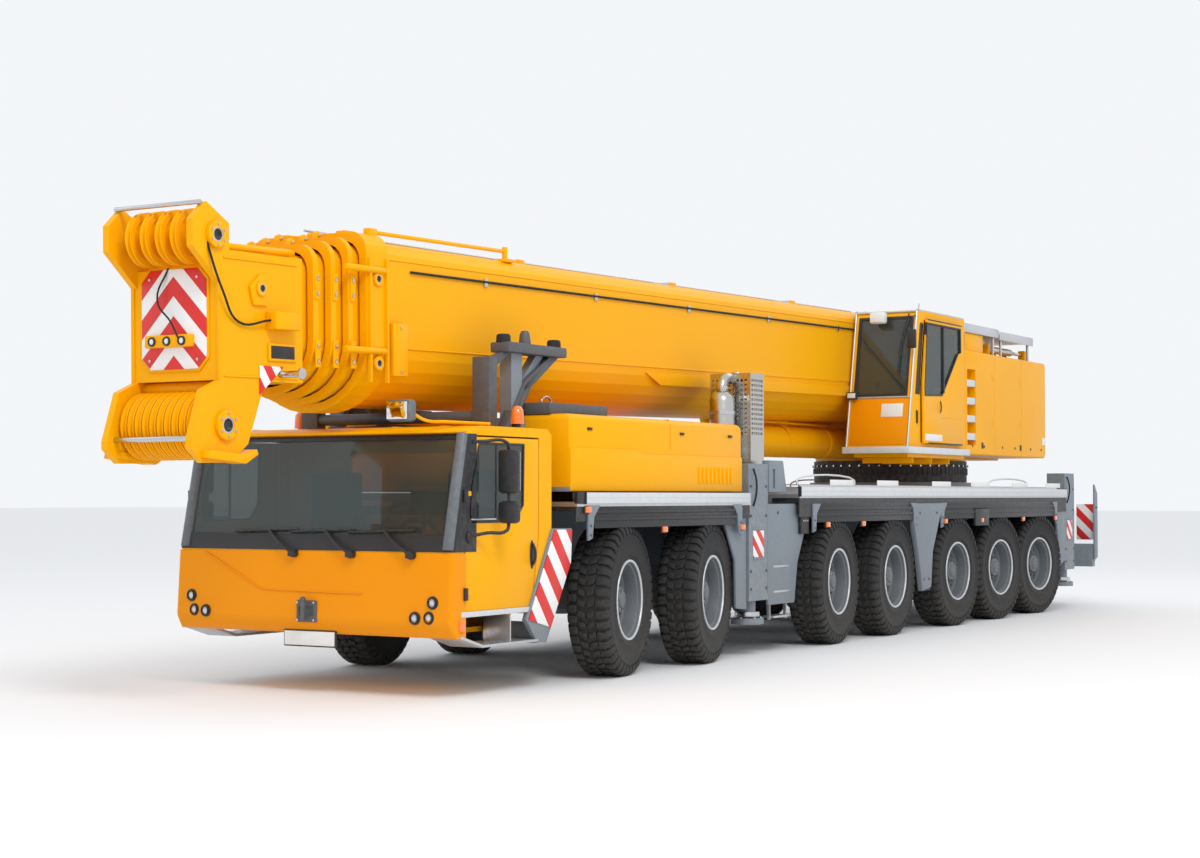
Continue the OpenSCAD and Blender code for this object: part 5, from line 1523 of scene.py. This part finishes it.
def crane_cab():
    """Narrow cab with a slanted front: hollow shell, openings, silver trim, glass and blank plates."""
    x0, x1 = UPPER_CAB
    shell = drawn("cab", UPPER_SIDE, "X", x0, x1, bevel=0, finish="yellow")
    shell = bevel_where(shell, 0.035, 3, lambda v: v.y < 7.3)
    inner = [(6.96, 2.245), (8.775, 2.245), (8.775, 3.845), (7.285, 3.845)]
    shell = cut(shell, hole(inner, x0 + 0.042, x1 - 0.042))
    front = hole([(6.6, 2.845), (6.6, 3.80), (7.6, 3.80), (7.6, 2.845)], x0 + 0.075, x1 - 0.075)
    door = hole([(7.31, 2.275), (8.63, 2.275), (8.63, 3.77), (7.44, 3.77), (7.31, 3.0)], 1.2, 1.6)
    rear = box("rear_hole", (x0 + 0.12, 8.6, 3.02), (x1 - 0.12, 9.0, 3.70), 0)
    roof = box("roof_hole", (x0 + 0.14, 7.45, 3.7), (x1 - 0.14, 8.20, 4.1), 0)
    shell = soften(cut(shell, front, door, rear, roof), 0.004, 1)
    yield shell
    z0, z1 = 2.85, 3.795
    pane = drawn("front_pane", [(lean_y(z0) + 0.016, z0 - 0.02), (lean_y(z1) + 0.016, z1 + 0.02),
                                (lean_y(z1) + 0.024, z1 + 0.02), (lean_y(z0) + 0.024, z0 - 0.02)], "X",
                 x0 + 0.07, x1 - 0.07, 0, "glass")
    seal = drawn("front_seal", [(lean_y(2.83) - 0.003, 2.83), (lean_y(3.815) - 0.003, 3.815),
                                (lean_y(3.815) + 0.02, 3.815), (lean_y(2.83) + 0.02, 2.83)], "X",
                 x0 + 0.055, x1 - 0.055, 0, "black")
    opening = hole([(6.6, 2.862), (6.6, 3.782), (7.6, 3.782), (7.6, 2.862)], x0 + 0.09, x1 - 0.09)
    yield pane
    yield soften(cut(seal, opening), 0.002, 1)
    yield box("roof_pane", (x0 + 0.13, 7.44, 3.885), (x1 - 0.13, 8.21, 3.893), 0, "glass")
    yield box("rear_pane", (x0 + 0.11, 8.79, 3.01), (x1 - 0.11, 8.798, 3.71), 0, "glass")
    # The lower front takes the darker yellow: painted shade on the slanted face below the window.
    yield drawn("front_panel", [(lean_y(2.24) - 0.008, 2.24), (lean_y(2.80) - 0.008, 2.80),
                                (lean_y(2.80) + 0.01, 2.80), (lean_y(2.24) + 0.01, 2.24)], "X", x0 + 0.045,
                x1 - 0.045, 0.004, "fascia")
    yield drawn("blank_plate", [(lean_y(2.58) - 0.011, 2.58), (lean_y(2.74) - 0.011, 2.74),
                                (lean_y(2.74), 2.74), (lean_y(2.58), 2.58)], "X", 1.02, 1.30, 0.002,
                "plate")
    for x in (x0 + 0.012, x1 - 0.012):
        yield rod("edge_trim", (x, lean_y(2.21), 2.21), (x, lean_y(3.87), 3.87), 0.016, 12, 0, "aluminium")
        yield rod("roof_trim", (x, 7.25, 3.888), (x, 8.80, 3.888), 0.015, 12, 0, "aluminium")
    for z in (2.818, 3.870):
        yield rod("cross_trim", (x0 + 0.01, lean_y(z) - 0.004, z), (x1 - 0.01, lean_y(z) - 0.004, z), 0.013,
                  12, 0, "aluminium")
    corner = [(lean_y(2.86) + 0.10, 2.855), (7.285, 2.855), (7.300, 3.05), (7.41, 3.72), (7.345, 3.745),
              (7.30, 3.72)]
    yield drawn("corner_glass", corner, "X", x1 - 0.010, x1 + 0.003, 0.002, "black")
    yield box("handle", (x1 + 0.001, 7.16, 2.50), (x1 + 0.016, 7.20, 2.66), 0.006, "black")
    lamp = box("work_lamp", (x0 + 0.27, 7.02, 3.72), (x0 + 0.46, 7.16, 3.86), 0.03, "plate")
    yield lamp
    yield box("lamp_glass", (x0 + 0.285, 7.012, 3.735), (x0 + 0.445, 7.022, 3.835), 0.004, "lamp")
    yield box("low_lamp", (x0 - 0.004, 6.95, 2.80), (x0 + 0.13, 7.00, 2.89), 0.014, "black")
    yield box("low_lamp_glass", (x0 + 0.012, 6.942, 2.815), (x0 + 0.115, 6.952, 2.875), 0.003, "lamp")
    yield pipe("wiper", [(1.30, lean_y(3.84) - 0.03, 3.84), (1.22, lean_y(3.5) - 0.018, 3.50),
                         (1.20, lean_y(3.1) - 0.014, 3.10)], 0.009, "black")
    yield pipe("mirror_arm", [(x1 - 0.03, 7.22, 3.82), (x1 + 0.03, 7.02, 3.74), (x1 + 0.03, 6.99, 3.62)],
               0.010, "black")
    yield box("mirror", (x1 - 0.04, 6.97, 3.40), (x1 + 0.08, 7.01, 3.63), 0.018, "black")
    yield box("mirror_glass", (x1 - 0.03, 7.008, 3.415), (x1 + 0.07, 7.014, 3.615), 0.002, "mirror")
    yield rod("antenna_foot", (1.02, 8.20, 3.89), (1.02, 8.20, 3.93), 0.022, 16, 0.004, "black")
    yield rod("antenna", (1.02, 8.20, 3.93), (1.02, 8.23, 4.06), 0.004, 8, 0, "black")


def crane_cab_inside():
    """Operator's chair with arm consoles and levers, display and pedals."""
    x, y, z = 0.985, 7.98, 2.26
    yield box("chair_base", (x - 0.19, y - 0.20, z), (x + 0.19, y + 0.22, z + 0.26), 0.03, "black")
    yield box("cushion", (x - 0.25, y - 0.27, z + 0.26), (x + 0.25, y + 0.24, z + 0.40), 0.055, "cloth")
    back = box("back", (x - 0.24, y + 0.20, z + 0.34), (x + 0.24, y + 0.33, z + 0.95), 0.06, "cloth")
    yield back
    yield box("headrest", (x - 0.13, y + 0.25, z + 0.97), (x + 0.13, y + 0.34, z + 1.14), 0.04, "cloth")
    for sign in (1, -1):
        yield box("console", (x + sign * 0.28, y - 0.34, z + 0.40), (x + sign * 0.34, y + 0.16, z + 0.56),
                  0.02, "black")
        yield pipe("lever", [(x + sign * 0.31, y - 0.26, z + 0.56), (x + sign * 0.31, y - 0.28, z + 0.66),
                             (x + sign * 0.31, y - 0.27, z + 0.72)], 0.014, "black")
        yield ball("knob", (x + sign * 0.31, y - 0.27, z + 0.75), 0.030, (1, 1, 1.4), "black")
        yield box("pedal", (x + sign * 0.11 - 0.05, 7.14, z + 0.02),
                  (x + sign * 0.11 + 0.05, 7.30, z + 0.07), 0.01, "steel")
    yield box("display", (x + 0.16, 7.24, z + 0.92), (x + 0.36, 7.28, z + 1.08), 0.012, "black")
    yield pipe("display_arm", [(x + 0.30, 7.30, z + 0.02), (x + 0.30, 7.32, z + 0.60),
                               (x + 0.26, 7.28, z + 0.93)], 0.014, "black")


def crane_cab_door():
    """Sliding door with its cut window, slim black frame, handle and rails."""
    outline = [(7.315, 2.265), (8.640, 2.265), (8.640, 3.782), (7.445, 3.782), (7.315, 3.02)]
    panel = drawn("door", outline, "X", 1.408, 1.440, bevel=0, finish="yellow")
    panel = soften(cut(panel, hole(SIDE_WINDOW, 1.3, 1.5)), 0.005)
    seal, inner = window_in(SIDE_WINDOW, (8.0, 3.36), 1.412, 1.443)
    yield panel
    yield seal
    yield drawn("pane", inner, "X", 1.416, 1.422, 0, "glass")
    yield box("divider", (1.410, 7.975, 2.90), (1.442, 8.015, 3.72), 0.004, "black")
    yield pipe("handle", [(1.438, 7.86, 2.80), (1.449, 7.86, 2.77), (1.449, 7.86, 2.68),
                          (1.438, 7.86, 2.65)], 0.007, "black")
    # The crease is a thin strip of the darker yellow: painted shade along the pressed line.
    yield box("crease", (1.436, 7.90, 2.585), (1.441, 8.62, 2.592), 0.001, "fascia")
    yield box("blank_strip", (1.438, 7.36, 2.30), (1.442, 7.92, 2.38), 0.001, "plate")
    for z in (2.262, 3.772):
        yield box("runner", (1.409, 7.46, z), (1.444, 8.62, z + 0.016), 0.003, "black")


def tail_shell(sign, front_y):
    """One side housing of the upper works, with its step recess, door lines and locks."""
    x0, x1 = sorted((sign * 0.70, sign * 1.390))
    outline = [(front_y, 2.20), (front_y + 0.05, 2.155), (12.00, 2.155), (12.06, 2.21), (12.06, 3.46),
               (12.02, 3.50), (front_y + 0.02, 3.50), (front_y, 3.48)]
    shell = drawn("housing", outline, "X", x0, x1, bevel=0, finish="yellow")
    shell = bevel_where(shell, 0.022, 3, lambda v: abs(v.x) > 1.38)
    side = sign * 1.388
    recess = box("recess", (side - 0.10, 8.93, 2.28), (side + 0.10, 9.24, 3.26), 0)
    shell = cut(shell, recess, *[box("seam", (side - 0.004, y, 2.10), (side + 0.10, y + 0.008, 3.55), 0)
                                 for y in (9.95, 11.02)])
    yield soften(shell, 0)
    for z in (2.345, 2.575, 2.805, 3.035):
        yield box("step", (sign * 1.295, 8.935, z), (sign * 1.389, 9.235, z + 0.09), 0.008, "white")
    for y in (9.12, 9.55, 10.25, 10.75, 11.40, 11.85):
        yield rod("lock", (side - sign * 0.002, y, 2.27), (side + sign * 0.008, y, 2.27), 0.018, 20, 0.003,
                  "black")
    for y in (9.45, 10.95):
        yield box("paddle_lock", (side - sign * 0.002, y, 2.24), (side + sign * 0.010, y + 0.06, 2.32),
                  0.005, "black")
    for z in (2.55, 3.15):
        for y in (9.86, 10.93):
            yield box("hinge", (side - sign * 0.002, y, z), (side + sign * 0.007, y + 0.07, z + 0.10),
                      0.003, "yellow")
    for i in range(12):
        z = 2.45 + 0.07 * i
        yield box("rear_slat", (sign * 0.80, 12.045, z), (sign * 1.32, 12.066, z + 0.035), 0.005, "yellow")
    yield box("rear_strip", (side - sign * 0.002, 11.90, 2.34), (side + sign * 0.006, 12.03, 2.44), 0.001,
              "plate")


def tail_top():
    """Lid box, folded walkways, ram, hoses, lifting lugs and the cooler fan on top of the housings."""
    yield box("lid_box", (0.74, 8.90, 3.495), (1.36, 9.62, 3.74), 0.02, "yellow")
    for i, y in enumerate((8.80, 10.20)):
        z = 3.765 - 0.02 * i
        slab = box("walkway", (0.72, y, z), (1.38, y + 1.36, z + 0.045), 0.004, "aluminium")
        slots = grid(box("slot", (0.78, y + 0.06, 3.6), (0.90, y + 0.10, 3.95), 0), (4, (0.145, 0, 0)),
                     (15, (0, 0.083, 0)))
        yield soften(cut(slab, slots), 0)
        for x in (0.72, 1.365):
            yield box("walkway_edge", (x, y, z - 0.03), (x + 0.018, y + 1.36, z + 0.085), 0.004,
                      "aluminium")
        for dy in (0.10, 1.20):
            for x in (1.33, 0.74):
                yield box("walkway_leg", (x, y + dy, 3.49), (x + 0.03, y + dy + 0.04, z), 0.005,
                          "aluminium")
    yield rod("folding_ram", (1.20, 10.15, 3.60), (1.20, 11.10, 3.60), 0.048, 24, 0.006, "steel")
    yield rod("folding_rod", (1.20, 11.10, 3.60), (1.20, 11.62, 3.60), 0.024, 20, 0.003, "steel")
    for y in (10.15, 11.62):
        yield box("ram_eye", (1.15, y - 0.04, 3.49), (1.25, y + 0.04, 3.66), 0.014, "yellow")
    for x in (0.90, 1.02):
        yield pipe("hose", [(x, 10.0, 3.50), (x, 10.15, 3.60), (x, 10.9, 3.62), (x, 11.4, 3.58),
                            (x, 11.6, 3.49)], 0.020, "rubber")
    for x, y in ((-0.80, 8.4), (-1.30, 8.4), (-0.80, 11.8), (-1.30, 11.8)):
        yield drawn("lug", [(y - 0.07, 3.49), (y + 0.07, 3.49), (y + 0.04, 3.60), (y - 0.04, 3.60)], "X",
                    x - 0.015, x + 0.015, 0.005, "yellow")
    yield turned("fan_ring", [(0.27, 0), (0.31, 0), (0.31, 0.045), (0.27, 0.045)], (-1.05, 9.2, 3.498), "Z",
                 48, "black")
    yield repeat(box("fan_bar", (-1.33, 8.95, 3.515), (-0.77, 8.962, 3.530), 0.002, "black"), 9,
                 (0, 0.062, 0))
    yield turned("fan_hub", [(0, 0.06), (0.07, 0.055), (0.08, 0.02), (0, 0.02)], (-1.05, 9.2, 3.498), "Z",
                 28, "black")


def turntable():
    """Toothed ring and bearing below the platform, the cab walkway, ribs, swivel box and hoses."""
    teeth = [(math.cos(math.radians(a)) * r, math.sin(math.radians(a)) * r)
             for i in range(90) for a, r in ((4 * i, 1.012), (4 * i + 1.2, 1.034), (4 * i + 2.6, 1.034))]
    crown = drawn("teeth", [(x, y + SLEW_LOCAL[1]) for x, y in teeth], "Z", 1.90, 1.99, 0, "iron")
    hub = turned("bearing", [(1.001, 1.805), (1.022, 1.805), (1.022, 2.085), (1.001, 2.085)], SLEW_LOCAL,
                 "Z", 96, "iron")
    core = rod("core", (0, SLEW_LOCAL[1], 1.7), (0, SLEW_LOCAL[1], 2.2), 1.001, 96)
    yield cut(crown, core)
    yield hub
    bolt = rod("bolt", (0, SLEW_LOCAL[1] - 1.045, 2.02), (0, SLEW_LOCAL[1] - 1.020, 2.02), 0.014, 6, 0,
               "steel")
    bolt = moved_by(bolt, Matrix.Translation((0, -SLEW_LOCAL[1], 0)))
    yield moved_by(ring(bolt, 48, "Z"), Matrix.Translation(SLEW_LOCAL))
    yield box("walkway", (0.60, 6.78, 2.150), (1.46, 8.82, 2.186), 0.006, "aluminium")
    yield box("walkway_edge", (1.446, 6.78, 2.135), (1.466, 8.82, 2.215), 0.005, "white")
    yield box("walkway_edge", (0.60, 6.768, 2.135), (1.466, 6.788, 2.215), 0.005, "white")
    for y in (7.1, 7.7, 8.3):
        yield box("console_rib", (0.72, y, 2.02), (1.38, y + 0.02, 2.09), 0.005, "yellow")
    yield box("swivel_box", (-1.32, 7.10, 2.16), (-0.74, 7.86, 2.62), 0.03, "yellow")
    for i in range(3):
        x = -1.20 + 0.16 * i
        yield pipe("valve_hose", [(x, 7.12, 2.50), (x, 7.00, 2.48), (x + 0.02, 6.98, 2.30),
                                  (x + 0.06, 7.10, 2.18)], 0.018, "rubber")


def winch():
    """Rope drum with its wound rope, dished flanges and end plates."""
    y, z = 11.65, 2.53
    coils = []
    for i in range(44):
        along = -0.56 + i * 0.0255
        coils += [(0.238, along), (0.250, along + 0.0085), (0.250, along + 0.017)]
    profile = [(0, -0.565), (0.238, -0.565), *coils, (0.238, 0.565), (0, 0.565)]
    yield turned("rope", profile, (0, y, z), "X", 48, "steel", 60)
    for sign in (1, -1):
        a, b = sign * 0.60, sign * 0.645
        yield turned("flange", [(0.06, a), (0.310, a), (0.318, a + sign * 0.008), (0.318, b), (0.290, b),
                                (0.282, a + sign * 0.02), (0.120, a + sign * 0.02), (0.110, b), (0.06, b)],
                     (0, y, z), "X", 64, "yellow")
        yield rod("drum_end", (sign * 0.56, y, z), (sign * 0.602, y, z), 0.24, 48, 0.003, "iron")


def luffing_cylinder():
    """Gland with its bolts, weld rings and oil pipes on the luffing cylinder's barrel."""
    y_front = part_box("luffing_barrel")[0].y - AXLE_1
    z = 2.285
    yield turned("gland", [(0.10, 0), (0.165, 0), (0.178, 0.012), (0.205, 0.03), (0.205, 0.16),
                           (0.192, 0.175), (0.10, 0.175)], (0, y_front - 0.02, z - 0.015), "Y", 48,
                 "yellow")
    for k in range(8):
        angle = math.radians(45 * k + 22)
        spot = Vector((0.150 * math.cos(angle), y_front - 0.03, z - 0.015 + 0.150 * math.sin(angle)))
        yield rod("gland_bolt", spot, spot + Vector((0, 0.04, 0)), 0.014, 6, 0.002, "steel")
    for y in (6.2, 7.4, 8.5):
        yield turned("band", [(0.189, -0.03), (0.200, -0.03), (0.200, 0.03), (0.189, 0.03)], (0, y, z), "Y",
                     40, "yellow")
    for x in (-0.07, 0.07):
        yield pipe("oil_pipe", [(x, y_front + 0.30, z + 0.178), (x, y_front + 0.34, z + 0.215),
                                (x, 8.2, z + 0.215), (x, 8.4, z + 0.185)], 0.014, "yellow", smooth=False)


class CRANE_OT_upper_works(bpy.types.Operator):
    """Crane cab, housings, turntable, winch and the luffing cylinder's fittings"""
    bl_idname = "crane.upper_works"
    bl_label = "Upper works"

    def execute(self, context):
        keep(join("crane_cab_shell", *crane_cab()), "superstructure", "yellow_paint", "crane_cab")
        keep(join("crane_cab_inside", *crane_cab_inside()), "superstructure", "dark_plastic")
        keep(join("crane_cab_leaf", *crane_cab_door()), "crane_cab_door", "yellow_paint", "crane_cab_door")
        housings = [*tail_shell(1, 8.865), *tail_shell(-1, 7.965)]
        keep(join("side_housings", *housings), "superstructure", "yellow_paint", "tail_housing")
        keep(join("housing_tops", *tail_top()), "superstructure", "aluminium")
        keep(join("turntable", *turntable()), "superstructure", "dark_steel")
        keep(join("rope_drum", *winch()), "winch", "dark_steel", "winch_drum")
        keep(join("luffing_fittings", *luffing_cylinder()), "luffing_barrel", "yellow_paint")
        return {"FINISHED"}


# ---------- panel and registration ----------

class CRANE_PT_panel(bpy.types.Panel):
    """Lists the crane's settings and builders"""
    bl_label = "Mobile crane"
    bl_idname = "CRANE_PT_panel"
    bl_space_type = "VIEW_3D"
    bl_region_type = "UI"
    bl_category = "Crane"

    def draw(self, context):
        layout = self.layout
        for name in SETTINGS:
            settings = getattr(context.scene, name)
            for key in settings.__annotations__:
                layout.prop(settings, key)
        for operator in OPERATORS:
            layout.operator(operator.bl_idname)


SETTINGS = {"crane_colours": CraneColours, "crane_tyres": CraneTyres, "crane_camera": CraneCamera}
OPERATORS = (CRANE_OT_wheels, CRANE_OT_carrier_cab, CRANE_OT_boom, CRANE_OT_carrier_body,
             CRANE_OT_upper_works, CRANE_OT_stage)


def register():
    """Registers the settings, operators and panel."""
    for name, settings in SETTINGS.items():
        bpy.utils.register_class(settings)
        setattr(bpy.types.Scene, name, bpy.props.PointerProperty(type=settings))
    for cls in (*OPERATORS, CRANE_PT_panel):
        bpy.utils.register_class(cls)


def unregister():
    """Takes them away again."""
    for cls in (CRANE_PT_panel, *reversed(OPERATORS)):
        bpy.utils.unregister_class(cls)
    for name, settings in SETTINGS.items():
        delattr(bpy.types.Scene, name)
        bpy.utils.unregister_class(settings)


FRAME_FINISHES = (("knuckle", "dark_grey"), ("wheel", "rubber"), ("luffing_rod", "steel"),
                  ("chassis", "grey"), ("axle", "dark_grey"), ("deck", "aluminium"), ("mudguards", "black"),
                  ("engine_block", "iron"), ("exhaust", "stainless"), ("cab_interior", "cloth"),
                  ("winch", "iron"), ("front_", "grey"), ("rear_", "grey"))


def frame_finish(node):
    """The finish of a piece of the frame that is carried over unchanged."""
    for start, finish in FRAME_FINISHES:
        if node.startswith(start):
            return finish
    return "yellow"


def main():
    register()
    make_finishes(bpy.context.scene.crane_colours)
    for node in frame["nodes"]:
        obj = bpy.data.objects[node]
        obj.data.materials.clear()
        obj.data.materials.append(FINISHES[frame_finish(node)])
    for operator in OPERATORS:
        group, call = operator.bl_idname.split(".")
        getattr(getattr(bpy.ops, group), call)()


if __name__ == "__main__":
    main()
